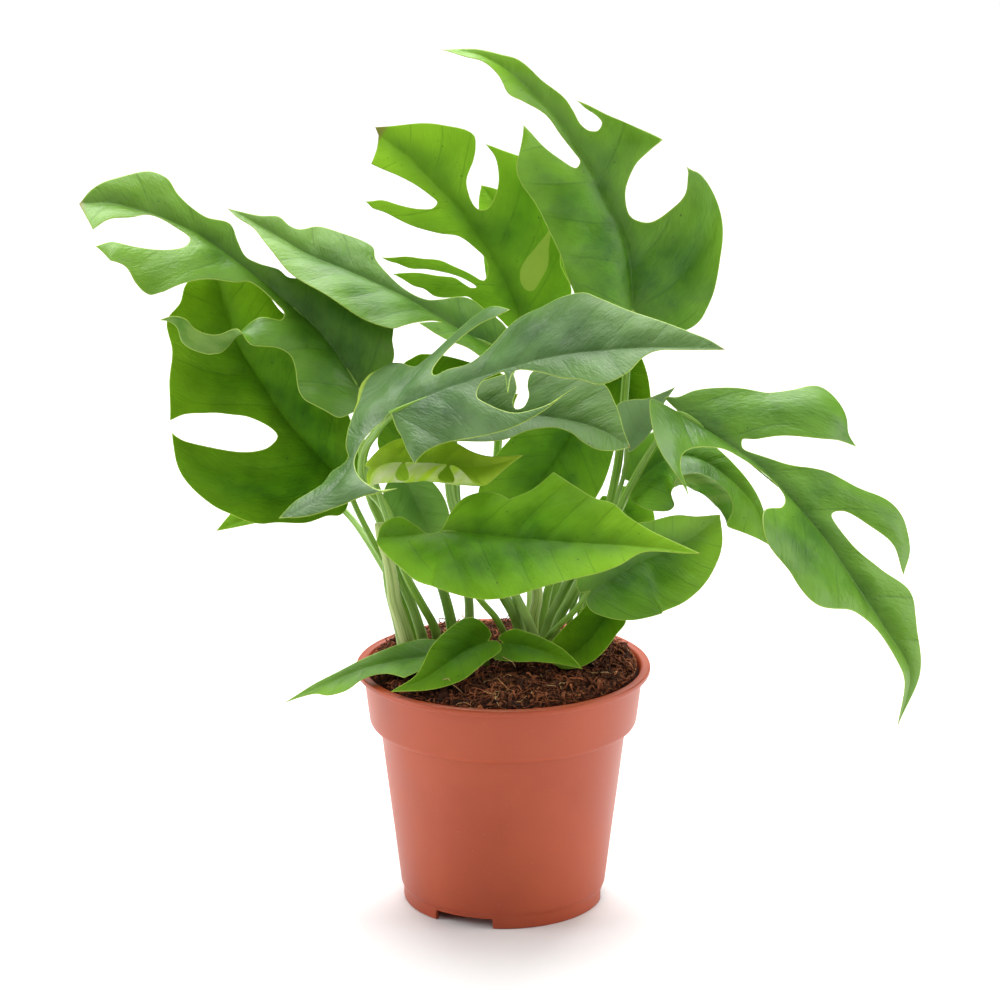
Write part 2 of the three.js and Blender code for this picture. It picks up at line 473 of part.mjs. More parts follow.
const STEMS = {
  stem_left: {
    foot: [-38, -2.5],
    route: [[-41.5, -3, 119.5], [-44, -3.5, 128], [-45, -4.5, 137], [-46.5, -5.5, 146.5],
      [-49, -6, 154.5], [-50, -6, 161.5]],
    radius: [3, 1.7],
  },
  stem_right: {
    foot: [12, 14],
    route: [[12.5, 14, 115.5], [14, 15, 122.5], [14, 16, 127], [14.5, 18, 136.5]],
    radius: [2.4, 1.7],
  },
};

// ---- Solids ----

/** The solid of a closed mesh. */
function solidOf(geometry) {
  const bare = geometry.index ? geometry.clone() : geometry;
  bare.deleteAttribute('normal');
  bare.deleteAttribute('uv');
  const merged = mergeVertices(bare, 1e-4);
  return new wasm.Manifold(new wasm.Mesh({
    numProp: 3,
    vertProperties: new Float32Array(merged.attributes.position.array),
    triVerts: new Uint32Array(merged.index.array),
  }));
}

/** The three.js geometry of a solid. */
function geometryOf(solid) {
  const mesh = solid.getMesh();
  const geometry = new THREE.BufferGeometry();
  geometry.setAttribute('position', new THREE.BufferAttribute(mesh.vertProperties, 3));
  geometry.setIndex(new THREE.BufferAttribute(mesh.triVerts, 1));
  geometry.computeVertexNormals();
  return geometry;
}

/**
 * A closed tube along a smooth curve through the points, with a ring at each of them and
 * more between them on long spans. Its radius follows radiusAt(share of the length).
 */
function taperedTube(points, sides, radiusAt) {
  const curve = new THREE.CatmullRomCurve3(points, false, 'centripetal');
  const spans = points.length - 1;
  const stops = [];
  for (let span = 0; span < spans; span += 1) {
    const count = Math.ceil(points[span].distanceTo(points[span + 1]) / STALK_STEP);
    for (let step = 0; step < count; step += 1) stops.push((span + step / count) / spans);
  }
  stops.push(1);
  const centres = stops.map((stop) => curve.getPoint(stop));
  const runs = [0];
  centres.slice(1).forEach((centre, ring) => {
    runs.push(runs[ring] + centre.distanceTo(centres[ring]));
  });
  const normal = new THREE.Vector3(1, 0, 0);
  const positions = [];
  const index = [];
  centres.forEach((centre, ring) => {
    const along = curve.getTangent(stops[ring]);
    normal.addScaledVector(along, -normal.dot(along)).normalize();
    const binormal = along.clone().cross(normal);
    const radius = radiusAt(runs[ring] / runs.at(-1));
    for (let side = 0; side < sides; side += 1) {
      const angle = side / sides * 2 * Math.PI;
      const point = centre.clone()
        .addScaledVector(normal, radius * Math.cos(angle))
        .addScaledVector(binormal, radius * Math.sin(angle));
      positions.push(...point);
      if (ring > 0) {
        const next = (side + 1) % sides;
        const low = (ring - 1) * sides;
        const high = ring * sides;
        index.push(low + side, low + next, high + side);
        index.push(low + next, high + next, high + side);
      }
    }
  });
  const last = (centres.length - 1) * sides;
  for (let side = 1; side < sides - 1; side += 1) {
    index.push(0, side + 1, side);
    index.push(last, last + side, last + side + 1);
  }
  const tube = new THREE.BufferGeometry();
  tube.setAttribute('position', new THREE.Float32BufferAttribute(positions, 3));
  tube.setIndex(index);
  return tube;
}

// ---- Leaf shape ----

/** The bent sheet of a leaf: place(u, v, w) takes leaf millimetres into space. */
class Sheet {
  constructor({ rib, back = [], facing, fold, bend, wave = NO_WAVE }) {
    const points = [...back].reverse().concat(rib).map((point) => new THREE.Vector3(...point));
    const steps = 24;
    this.curve = new THREE.CatmullRomCurve3(points, false, 'centripetal');
    this.curve.arcLengthDivisions = steps * (points.length - 1);
    const lengths = this.curve.getLengths();
    this.start = lengths[steps * back.length];
    this.total = lengths.at(-1);
    this.length = this.total - this.start;
    this.facing = facing.map((way) => new THREE.Vector3(...way));
    this.fold = fold.map((half) => half.map(THREE.MathUtils.degToRad));
    this.bend = bend;
    this.wave = wave;
  }

  onSheet(u, v) {
    const share = THREE.MathUtils.clamp((u + this.start) / this.total, 0, 1);
    const along = this.curve.getTangentAt(share);
    const middle = this.curve.getPointAt(share);
    middle.addScaledVector(along, u + this.start - share * this.total);
    const step = share * (this.facing.length - 1);
    const low = Math.min(Math.floor(step), this.facing.length - 2);
    const up = this.facing[low].clone().lerp(this.facing[low + 1], step - low);
    up.addScaledVector(along, -up.dot(along)).normalize();
    const side = along.clone().cross(up);
    const half = v > 0 ? 0 : 1;
    const tipward = THREE.MathUtils.clamp(u / this.length, 0, 1);
    const rise = THREE.MathUtils.lerp(...this.fold[half], tipward);
    const curl = this.bend[half];
    const out = Math.abs(v);
    const reach = (Math.sin(rise + curl * out) - Math.sin(rise)) / curl;
    const lift = (Math.cos(rise) - Math.cos(rise + curl * out)) / curl;
    const [height, length, start] = this.wave;
    const phase = 2 * Math.PI * u / length + start + half * HALF_SHIFT;
    const ripple = height * Math.min(out / WAVE_REACH, WAVE_LIMIT) ** 2 * Math.sin(phase);
    return middle.addScaledVector(side, Math.sign(v) * reach).addScaledVector(up, lift + ripple);
  }

  place(u, v, w) {
    const probe = 0.3;
    const alongU = this.onSheet(u + probe, v).sub(this.onSheet(u - probe, v));
    const alongV = this.onSheet(u, v + probe).sub(this.onSheet(u, v - probe));
    const normal = alongV.cross(alongU).normalize();
    return this.onSheet(u, v).addScaledVector(normal, w);
  }
}

/** The leaf's edge as a smooth loop through its points, broken at the corners. */
function leafEdge({ right, left }, length) {
  const back = [...left].reverse();
  const loop = [[0, 0, CORNER], ...right, [length, 0, CORNER], ...back, [0, 0, CORNER]];
  const edge = [];
  let run = [];
  for (const [u, v, corner] of loop) {
    run.push(new THREE.Vector3(u, v, 0));
    if (corner && run.length > 1) {
      const curve = new THREE.CatmullRomCurve3(run, false, 'centripetal');
      const spans = run.length - 1;
      for (let span = 0; span < spans; span += 1) {
        const count = Math.ceil(run[span].distanceTo(run[span + 1]) / EDGE_STEP);
        for (let step = 0; step < count; step += 1) {
          const { x, y } = curve.getPoint((span + step / count) / spans);
          edge.push(new THREE.Vector2(x, y));
        }
      }
      run = [run.at(-1)];
    }
  }
  return edge;
}

const areaOf = (a, b, c) => (b.x - a.x) * (c.y - a.y) - (b.y - a.y) * (c.x - a.x);

/** Whether a point lies in a loop, and at least the given distance from its edge. */
function wellInside(point, loop, distance) {
  let inside = false;
  for (let i = 0; i < loop.length; i += 1) {
    const a = loop[i];
    const b = loop[(i + 1) % loop.length];
    const along = b.clone().sub(a);
    const share = THREE.MathUtils.clamp(point.clone().sub(a).dot(along) / along.lengthSq(), 0, 1);
    if (point.distanceTo(a.clone().addScaledVector(along, share)) < distance) return false;
    if ((a.y > point.y) !== (b.y > point.y)
      && point.x < a.x + (point.y - a.y) / (b.y - a.y) * (b.x - a.x)) inside = !inside;
  }
  return inside;
}

/** Points within a leaf: a row on the midrib, and staggered rows beside it. */
function innerPoints(edge) {
  const box = new THREE.Box2().setFromPoints(edge);
  const points = [];
  const rows = Math.ceil(Math.max(box.max.y, -box.min.y) / ROW_STEP);
  for (let row = -rows; row <= rows; row += 1) {
    const shift = row % 2 ? SHEET_STEP / 2 : 0;
    for (let u = box.min.x + shift; u < box.max.x; u += SHEET_STEP) {
      const point = new THREE.Vector2(u, row * ROW_STEP);
      if (wellInside(point, edge, EDGE_MARGIN)) points.push(point);
    }
  }
  return points;
}

/** Swaps the long diagonals between neighbouring triangles for short ones. */
function evenOut(points, triangles) {
  for (let swaps = 1; swaps > 0;) {
    swaps = 0;
    const owners = new Map();
    const touched = new Set();
    triangles.forEach((triangle, t) => {
      triangle.forEach((from, k) => owners.set(`${from},${triangle[(k + 1) % 3]}`, [t, k]));
    });
    for (const [key, [t, k]] of owners) {
      const [from, to] = key.split(',').map(Number);
      const other = owners.get(`${to},${from}`);
      if (!other || from > to || touched.has(t) || touched.has(other[0])) continue;
      const apex = triangles[t][(k + 2) % 3];
      const beyond = triangles[other[0]][(other[1] + 2) % 3];
      const [a, b, c, d] = [from, to, apex, beyond].map((i) => points[i]);
      const angle = (p, q, r) => Math.acos(THREE.MathUtils.clamp(
        q.clone().sub(p).normalize().dot(r.clone().sub(p).normalize()), -1, 1));
      const convex = areaOf(d, b, c) > 1e-3 && areaOf(c, a, d) > 1e-3;
      if (convex && angle(c, a, b) + angle(d, a, b) > Math.PI + 1e-6) {
        triangles[t] = [apex, from, beyond];
        triangles[other[0]] = [beyond, to, apex];
        touched.add(t).add(other[0]);
        swaps += 1;
      }
    }
  }
}

/** Triangles over a leaf's edge loop and its inner points, turned anticlockwise. */
function triangulate(edge, inner) {
  const points = [...edge];
  const triangles = THREE.ShapeUtils.triangulateShape(edge, []).map((triangle) => (
    areaOf(...triangle.map((i) => points[i])) > 0 ? triangle : [...triangle].reverse()));
  evenOut(points, triangles);
  for (const point of inner) {
    const at = triangles.findIndex(([a, b, c]) => [[a, b], [b, c], [c, a]].every(
      ([from, to]) => areaOf(points[from], points[to], point) > 1e-3));
    if (at < 0) continue;
    const [a, b, c] = triangles[at];
    const added = points.push(point) - 1;
    triangles.splice(at, 1, [a, b, added], [b, c, added], [c, a, added]);
    evenOut(points, triangles);
  }
  return { points, triangles };
}

/** The blade: the same triangles on the upper and the under side, joined along the edge. */
function bladeOf(leaf, sheet) {
  const edge = leafEdge(leaf, sheet.length);
  const { points, triangles } = triangulate(edge, innerPoints(edge));
  const positions = [];
  for (const half of [-BLADE / 2, BLADE / 2]) {
    for (const { x, y } of points) positions.push(...sheet.place(x, y, half));
  }
  const top = points.length;
  const index = [];
  const borders = new Map();
  for (const [a, b, c] of triangles) {
    index.push(a, b, c, top + a, top + c, top + b);
    for (const [from, to] of [[a, b], [b, c], [c, a]]) {
      if (!borders.delete(`${to},${from}`)) borders.set(`${from},${to}`, [from, to]);
    }
  }
  for (const [from, to] of borders.values()) {
    index.push(to, from, top + from, to, top + from, top + to);
  }
  const blade = new THREE.BufferGeometry();
  blade.setAttribute('position', new THREE.Float32BufferAttribute(positions, 3));
  blade.setIndex(index);
  return blade;
}

/** The upright part in the soil that every stalk and stem starts with. */
function uprightFrom([x, y]) {
  return [HOLE_FLOOR_Z + CLEARANCE, ...UPRIGHT_Z].map((z) => new THREE.Vector3(x, y, z));
}

/** The stalk: up from its hole and on under the midrib, thinning all the way. */
function stalkTube(leaf, sheet) {
  const points = uprightFrom(leaf.foot);
  points.push(...leaf.stalk.map((point) => new THREE.Vector3(...point)));
  RIB_DEPTHS.forEach((depth, stop) => {
    const u = sheet.length * UNDER_BLADE * stop / (RIB_DEPTHS.length - 1);
    points.push(sheet.place(u, 0, -depth));
  });
  const length = new THREE.CatmullRomCurve3(points, false, 'centripetal').getLength();
  const free = 1 - sheet.length * UNDER_BLADE / length;
  const [foot, top] = leaf.radius;
  return taperedTube(points, STALK_SIDES, (share) => (share < free
    ? THREE.MathUtils.lerp(foot, top, share / free)
    : THREE.MathUtils.mapLinear(share, free, 1, top, RIB_END)));
}

function leafSolid(leaf) {
  const sheet = new Sheet(leaf);
  return solidOf(bladeOf(leaf, sheet)).add(solidOf(stalkTube(leaf, sheet)));
}

// ---- Stems ----

function stemTube({ foot, route, radius }) {
  const points = uprightFrom(foot).concat(route.map((point) => new THREE.Vector3(...point)));
  return taperedTube(points, STEM_SIDES, (share) => THREE.MathUtils.lerp(...radius, share));
}

// ---- Pot ----

/** Outer radius of the pot's plain wall. */
function wallRadius(z) {
  return THREE.MathUtils.mapLinear(z, WALL_FOOT_Z, BAND_FOOT_Z, WALL_FOOT_RADIUS, WALL_TOP_RADIUS);
}

/** Radius of the pot's inside, where the soil lies. */
function insideRadius(z) {
  const band = THREE.MathUtils.mapLinear(
    z, BAND_FOOT_Z, POT_HEIGHT, BAND_FOOT_RADIUS, BAND_TOP_RADIUS);
  return (z < BAND_FOOT_Z + 1 ? wallRadius(z) : band) - WALL;
}

function potSolid() {
  const lipUnder = POT_HEIGHT - LIP_HEIGHT;
  const floor = FOOT_HEIGHT;
  const insideFloor = floor + FLOOR;
  const profile = [
    [0, floor], [FOOT_RADIUS - FOOT_WIDTH, floor], [FOOT_RADIUS - FOOT_WIDTH, 0],
    [FOOT_RADIUS, 0], [FOOT_RADIUS, FOOT_HEIGHT], [WALL_FOOT_RADIUS, WALL_FOOT_Z],
    [WALL_TOP_RADIUS, BAND_FOOT_Z - 1.5],
    [BAND_FOOT_RADIUS - 1.6, BAND_FOOT_Z - 1], [BAND_FOOT_RADIUS, BAND_FOOT_Z + 1.2],
    [BAND_TOP_RADIUS, lipUnder - 0.6], [LIP_RADIUS - 0.9, lipUnder], [LIP_RADIUS, lipUnder + 0.9],
    [LIP_RADIUS, POT_HEIGHT - 0.9], [LIP_RADIUS - 0.9, POT_HEIGHT],
    [BAND_TOP_RADIUS + 0.3, POT_HEIGHT], [insideRadius(POT_HEIGHT), POT_HEIGHT - 0.9],
    [insideRadius(BAND_FOOT_Z + 1), BAND_FOOT_Z + 1], [insideRadius(BAND_FOOT_Z), BAND_FOOT_Z],
    [insideRadius(WALL_FOOT_Z + 1), WALL_FOOT_Z + 1], [0, insideFloor],
  ].map(([radius, z]) => new THREE.Vector2(radius, z));
  let pot = solidOf(new THREE.LatheGeometry(profile, ROUND).rotateX(Math.PI / 2));
  for (let notch = 0; notch < NOTCH_COUNT; notch += 1) {
    const middle = FIRST_NOTCH + notch * 2 * Math.PI / NOTCH_COUNT;
    const cut = new THREE.Shape();
    cut.absarc(0, 0, FOOT_RADIUS + 3, middle - NOTCH_ANGLE / 2, middle + NOTCH_ANGLE / 2, false);
    cut.absarc(0, 0, FOOT_RADIUS - 6, middle + NOTCH_ANGLE / 2, middle - NOTCH_ANGLE / 2, true);
    const depth = NOTCH_HEIGHT + 1;
    const block = new THREE.ExtrudeGeometry(cut, { depth, bevelEnabled: false, curveSegments: 4 });
    pot = pot.subtract(solidOf(block.translate(0, 0, -1)));
  }
  for (let drain = 0; drain < DRAIN_COUNT; drain += 1) {
    const angle = drain / DRAIN_COUNT * 2 * Math.PI;
    const hole = new THREE.CylinderGeometry(DRAIN_RADIUS, DRAIN_RADIUS, 6, 16);
    hole.rotateX(Math.PI / 2);
    hole.translate(DRAIN_CIRCLE * Math.cos(angle), DRAIN_CIRCLE * Math.sin(angle), floor);
    pot = pot.subtract(solidOf(hole));
  }
  return pot;
}

// ---- Soil ----

/** Height of the soil's surface, a low mound with lumps. */
function soilTop(x, y) {
  const out = Math.hypot(x, y);
  const mound = SOIL_CROWN_Z - SOIL_FALL * (out / SHOULDER_RADIUS) ** 2;
  const lumps = Math.sin(x * 0.61 + 1) * Math.cos(y * 0.53) + Math.sin((x - y) * 0.37);
  return mound + CRUMB * lumps * (1 - (out / SHOULDER_RADIUS) ** 6);
}

/** The round hole that a stalk or stem of this radius stands in. */
function soilHole([x, y], radius) {
  const depth = SOIL_CROWN_Z + 5 - HOLE_FLOOR_Z;
  const hole = new THREE.CylinderGeometry(radius + HOLE_PLAY, radius + HOLE_PLAY, depth, 8);
  return hole.rotateX(Math.PI / 2).translate(x, y, HOLE_FLOOR_Z + depth / 2);
}

function soilSolid(holes) {
  const rim = insideRadius(SOIL_EDGE_Z) - CLEARANCE;
  const rings = [0.2, 0.4, 0.6, 0.8, 1].map((share) => share * SHOULDER_RADIUS);
  const floorZ = FOOT_HEIGHT + FLOOR + 1.7;
  const profile = [
    [0, floorZ], [insideRadius(floorZ) - 1.5, floorZ],
    [insideRadius(floorZ + 1) - CLEARANCE, floorZ + 1],
    [insideRadius(BAND_FOOT_Z - 1) - CLEARANCE, BAND_FOOT_Z - 1],
    [insideRadius(BAND_FOOT_Z - 1) - CLEARANCE, BAND_FOOT_Z + 2],
    [insideRadius(BAND_FOOT_Z + 2.5) - CLEARANCE - 0.2, BAND_FOOT_Z + 4],
    [rim, SOIL_EDGE_Z], ...rings.reverse().map((radius) => [radius, SOIL_CROWN_Z]),
    [0, SOIL_CROWN_Z],
  ].map(([radius, z]) => new THREE.Vector2(radius, z));
  const body = new THREE.LatheGeometry(profile, ROUND).rotateX(Math.PI / 2);
  const { position } = body.attributes;
  for (let i = 0; i < position.count; i += 1) {
    if (position.getZ(i) > SOIL_EDGE_Z + 1) {
      position.setZ(i, soilTop(position.getX(i), position.getY(i)));
    }
  }
  return holes.reduce((soil, hole) => soil.subtract(solidOf(hole)), solidOf(body));
}

// ---- The plant ----

const plant = new THREE.Group();
plant.name = 'potted_monstera';

function addNode(name, solid, color, roughness) {
  const material = new THREE.MeshStandardMaterial({ color, roughness, metalness: 0 });
  const mesh = new THREE.Mesh(geometryOf(solid), material);
  mesh.name = name;
  plant.add(mesh);
}

const holes = [...Object.values(LEAVES), ...Object.values(STEMS)].map(
  ({ foot, radius }) => soilHole(foot, radius[0]));

addNode('pot', potSolid(), TERRACOTTA, 0.5);
addNode('soil', soilSolid(holes), SOIL_BROWN, 1);
for (const [name, stem] of Object.entries(STEMS)) {
  addNode(name, solidOf(stemTube(stem)), SHEATH_GREEN, 0.5);
}
for (const [name, leaf] of Object.entries(LEAVES)) {
  addNode(name, leafSolid(leaf), leaf.colour, 0.45);
}

export default plant;
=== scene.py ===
# A small split-leaf monstera in a terracotta-coloured nursery pot, photographed on white.
# Lengths are millimetres until a mesh is made, which turns them into Blender's metres.

import bpy
import numpy as np
from mathutils import Matrix
from mathutils.geometry import delaunay_2d_cdt


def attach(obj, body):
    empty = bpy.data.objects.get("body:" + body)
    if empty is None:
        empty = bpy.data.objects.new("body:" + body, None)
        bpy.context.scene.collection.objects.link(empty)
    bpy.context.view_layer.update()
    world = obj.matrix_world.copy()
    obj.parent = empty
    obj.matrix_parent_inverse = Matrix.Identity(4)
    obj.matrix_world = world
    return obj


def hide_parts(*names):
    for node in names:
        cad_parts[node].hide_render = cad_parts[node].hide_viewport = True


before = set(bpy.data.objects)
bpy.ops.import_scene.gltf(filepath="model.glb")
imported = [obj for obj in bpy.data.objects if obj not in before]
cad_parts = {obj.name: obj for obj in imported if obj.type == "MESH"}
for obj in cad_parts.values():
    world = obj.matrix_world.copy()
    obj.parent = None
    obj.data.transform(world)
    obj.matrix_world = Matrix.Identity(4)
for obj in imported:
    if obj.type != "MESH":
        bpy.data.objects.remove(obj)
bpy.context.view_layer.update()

# ---- Studio ----
# The plant stands on a white floor that runs on behind it. A large soft light hangs above,
# and two tall ones stand at the sides, so that the pot is brightest towards its edges.

MM = 0.001
CAMERA_RISE = np.radians(16.5)
CAMERA_DISTANCE = 1800
CAMERA_AIM = np.array([-1.3, 0, 169.5])
LENS = 160.56
SENSOR = 36
FARTHEST_SEEN = 100
ROOM_LIGHT = 0.1
FLOOR_REACH = 6


def unit(ways):
    """Ways scaled to length one."""
    return ways / np.linalg.norm(ways, axis=-1, keepdims=True)


def set_up(name, data, place):
    """Links a camera or light into the scene at a place. Its -Z axis points at the middle of
    the plant, and its Y axis upwards."""
    ahead = unit(CAMERA_AIM - place)
    right = unit(np.cross(ahead, (0, 0, 1)))
    axes = np.stack([right, np.cross(right, ahead), -ahead], 1)
    thing = bpy.data.objects.new(name, data)
    bpy.context.scene.collection.objects.link(thing)
    thing.matrix_world = Matrix([(*row, p * MM) for row, p in zip(axes, place)] + [(0, 0, 0, 1)])
    return thing


def soft_light(name, place, width, height, power):
    """A rectangular soft box aimed at the middle of the plant."""
    data = bpy.data.lights.new(name, "AREA")
    data.shape = "RECTANGLE"
    data.size = width * MM
    data.size_y = height * MM
    data.energy = power
    set_up(name, data, place)


camera_data = bpy.data.cameras.new("camera")
camera_data.lens = LENS
camera_data.sensor_width = SENSOR
camera_data.clip_end = FARTHEST_SEEN
camera_place = CAMERA_AIM + CAMERA_DISTANCE * np.array(
    [0, -np.cos(CAMERA_RISE), np.sin(CAMERA_RISE)])
bpy.context.scene.camera = set_up("camera", camera_data, camera_place)

soft_light("top_light", (0, 300, 1450), 1400, 1400, 34)
soft_light("left_light", (-1200, -100, 500), 600, 1100, 9)
soft_light("right_light", (1200, -100, 500), 600, 1100, 9)
soft_light("front_light", (300, -2400, 2000), 1800, 1000, 17)
soft_light("floor_light", (0, 2300, 2500), 3000, 1900, 78)

world = bpy.data.worlds.new("white_room")
world.use_nodes = True
room = world.node_tree.nodes["Background"].inputs
room["Color"].default_value = (1, 1, 1, 1)
room["Strength"].default_value = ROOM_LIGHT
bpy.context.scene.world = world
bpy.context.scene.view_settings.view_transform = "Standard"


class Wire:
    """A number or colour on its way between shader nodes. Arithmetic on it adds Math nodes."""

    def __init__(self, finish, socket):
        self.finish = finish
        self.socket = socket

    def math(self, operation, *others):
        return self.finish.node("ShaderNodeMath", {"operation": operation},
                                dict(enumerate((self, *others))))

    def __add__(self, other):
        return self.math("ADD", other)

    def __sub__(self, other):
        return self.math("SUBTRACT", other)

    def __rsub__(self, other):
        return self.math("MULTIPLY", -1).math("ADD", other)

    def __mul__(self, other):
        return self.math("MULTIPLY", other)

    __radd__ = __add__
    __rmul__ = __mul__

    def ramp(self, low, high, first=0, last=1):
        """Goes smoothly from first to last as this goes from low to high, and stays there."""
        return self.finish.node("ShaderNodeMapRange", {"interpolation_type": "SMOOTHSTEP"},
                                {0: self, 1: low, 2: high, 3: first, 4: last})


class Finish:
    """A procedural material. Its nodes are added by node(), and colours are blended by mix()."""

    def __init__(self, name):
        self.material = bpy.data.materials.new(name)
        self.material.use_nodes = True
        self.tree = self.material.node_tree
        self.tree.nodes.clear()

    def node(self, kind, settings, sockets, out=0):
        """Adds a node, makes its settings, fills its sockets with values or wires, and
        gives back one of its outputs."""
        made = self.tree.nodes.new(kind)
        for setting, value in settings.items():
            setattr(made, setting, value)
        for socket, value in sockets.items():
            if isinstance(value, Wire):
                self.tree.links.new(value.socket, made.inputs[socket])
            else:
                made.inputs[socket].default_value = value
        return Wire(self, made.outputs[out]) if made.outputs else self.material

    def mix(self, share, first, second):
        """The colour between first and second at this share."""
        return self.node("ShaderNodeMix", {"data_type": "RGBA"}, {0: share, 6: first, 7: second}, 2)

    def noise(self, place, scale, detail=3, stretch=(1, 1, 1)):
        """Cloudy noise from 0 to 1, its pattern squeezed by stretch along each axis."""
        turned = self.node("ShaderNodeMapping", {}, {"Vector": place, "Scale": stretch})
        return self.node("ShaderNodeTexNoise", {}, {
            "Vector": turned, "Scale": scale, "Detail": detail})

    def place(self):
        """Object coordinates, in metres."""
        return self.node("ShaderNodeTexCoord", {}, {}, "Object")

    def number(self, name):
        """A number kept at each point of the mesh."""
        return self.node("ShaderNodeAttribute", {"attribute_name": name}, {}, "Fac")

    def bump(self, height, depth):
        """The surface's normal once it is raised by height times depth, in metres."""
        return self.node("ShaderNodeBump", {}, {"Height": height, "Distance": depth})

    def finished(self, shader):
        """The material, showing this shader."""
        return self.node("ShaderNodeOutputMaterial", {}, {"Surface": shader})

    def finished_thin(self, sockets, glow, share):
        """The material of a thin green skin: a waxy surface that lets a share of the light
        through, coloured by glow."""
        waxy = self.node("ShaderNodeBsdfPrincipled", {}, sockets)
        through = self.node("ShaderNodeBsdfTranslucent", {}, {"Color": rgb(glow)})
        return self.finished(self.node("ShaderNodeMixShader", {}, {0: share, 1: waxy, 2: through}))


def rgb(code):
    """A colour written as six hex digits, as shader values."""
    parts = np.array([int(code[i:i + 2], 16) for i in (0, 2, 4)]) / 255
    linear = np.where(parts < 0.04045, parts / 12.92, ((parts + 0.055) / 1.055) ** 2.4)
    return (*linear, 1)


# The floor: white, with no visible edge in front of or behind the plant.

floor_finish = Finish("floor_white")
floor_white = floor_finish.finished(floor_finish.node(
    "ShaderNodeBsdfDiffuse", {}, {"Color": (0.9, 0.9, 0.9, 1)}))
floor_mesh = bpy.data.meshes.new("floor")
floor_corners = [(-1, -1, 0), (1, -1, 0), (1, 1, 0), (-1, 1, 0)]
floor_mesh.from_pydata(FLOOR_REACH * np.array(floor_corners, float), [], [(0, 1, 2, 3)])
floor_mesh.materials.append(floor_white)
floor = bpy.data.objects.new("floor", floor_mesh)
bpy.context.scene.collection.objects.link(floor)


# ---- Pot ----
# One injection-moulded nursery pot of thin terracotta-coloured plastic. A rounded lip stands
# out over a straight band, below which the wall steps in and tapers to a low foot ring with
# three notches. The floor has six drain holes.

LIP_RADIUS = 60
POT_HEIGHT = 100
LIP_UNDER = 97.4
BAND_TOP_RADIUS = 57
BAND_FOOT_RADIUS = 54.6
BAND_FOOT = 77
WALL_TOP_RADIUS = 50.4
WALL_FOOT_RADIUS = 42
WALL_FOOT = 7
WALL = 1.2
FOOT_RADIUS = 41
FOOT_WIDTH = 2
FLOOR_UNDER = 5.5
FLOOR_TOP = 6.9
NOTCHES = np.radians([-114, 6, 126])
NOTCH_HALF_ANGLE = np.radians(18)
NOTCH_HEIGHT = 4.2
NOTCH_EDGE = np.radians(0.3)
DRAINS = 6
DRAIN_RADIUS = 3
DRAIN_CIRCLE = 27
EASE = 0.9
EASE_STEPS = 6
POT_STEPS = 288


def grid_quads(rows, columns):
    """Four-sided faces over rings of points, each ring's last point joined to its first."""
    row, column = np.mgrid[:rows - 1, :columns]
    here = row * columns + column
    ahead = row * columns + (column + 1) % columns
    return np.stack([here, ahead, ahead + columns, here + columns], -1).reshape(-1, 4)


def skin(rings):
    """A closed skin over rings of points: quads from ring to ring and a fan over each end."""
    rows, columns, _ = rings.shape
    points = np.vstack([rings.reshape(-1, 3), rings[0].mean(0), rings[-1].mean(0)])
    side = np.arange(columns)
    ahead = (side + 1) % columns
    last = (rows - 1) * columns
    centre = np.full(columns, rows * columns)
    first_fan = np.stack([centre, ahead, side], 1)
    last_fan = np.stack([centre + 1, last + side, last + ahead], 1)
    return points, grid_quads(rows, columns).tolist() + first_fan.tolist() + last_fan.tolist()


def make_mesh(name, points, faces, finishes, numbers=None, flat_map=None):
    """A smooth-shaded mesh object of points in millimetres. numbers are kept at its points,
    and flat_map is its UV map."""
    mesh = bpy.data.meshes.new(name)
    mesh.from_pydata(points * MM, [], faces)
    mesh.shade_smooth()
    for key, values in (numbers or {}).items():
        mesh.attributes.new(key, "FLOAT", "POINT").data.foreach_set("value", values)
    if flat_map is not None:
        corners = np.empty(len(mesh.loops), int)
        mesh.loops.foreach_get("vertex_index", corners)
        mesh.uv_layers.new(name="flat").data.foreach_set("uv", flat_map[corners].ravel())
    for finish in finishes:
        mesh.materials.append(finish)
    piece = bpy.data.objects.new(name, mesh)
    bpy.context.scene.collection.objects.link(piece)
    return piece


def fit(piece, slot, *nodes):
    """It rides with the plant and stands for its nodes. slot is not used."""
    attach(piece, "root")
    if nodes:
        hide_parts(*nodes)


def rounded(profile):
    """The profile with each corner eased: a quadratic curve from EASE before it to EASE after
    it, bent towards the corner."""
    line = np.array(profile, float)
    corner = line[1:-1]

    def towards(other):
        way = other - corner
        length = np.linalg.norm(way, axis=1, keepdims=True)
        return corner + way / length * np.minimum(EASE, 0.45 * length)

    start, end = towards(line[:-2]), towards(line[2:])
    t = np.linspace(0, 1, EASE_STEPS)[:, None, None]
    curve = (1 - t) ** 2 * start + 2 * t * (1 - t) * corner + t ** 2 * end
    return np.vstack([line[:1], curve.swapaxes(0, 1).reshape(-1, 2), line[-1:]])


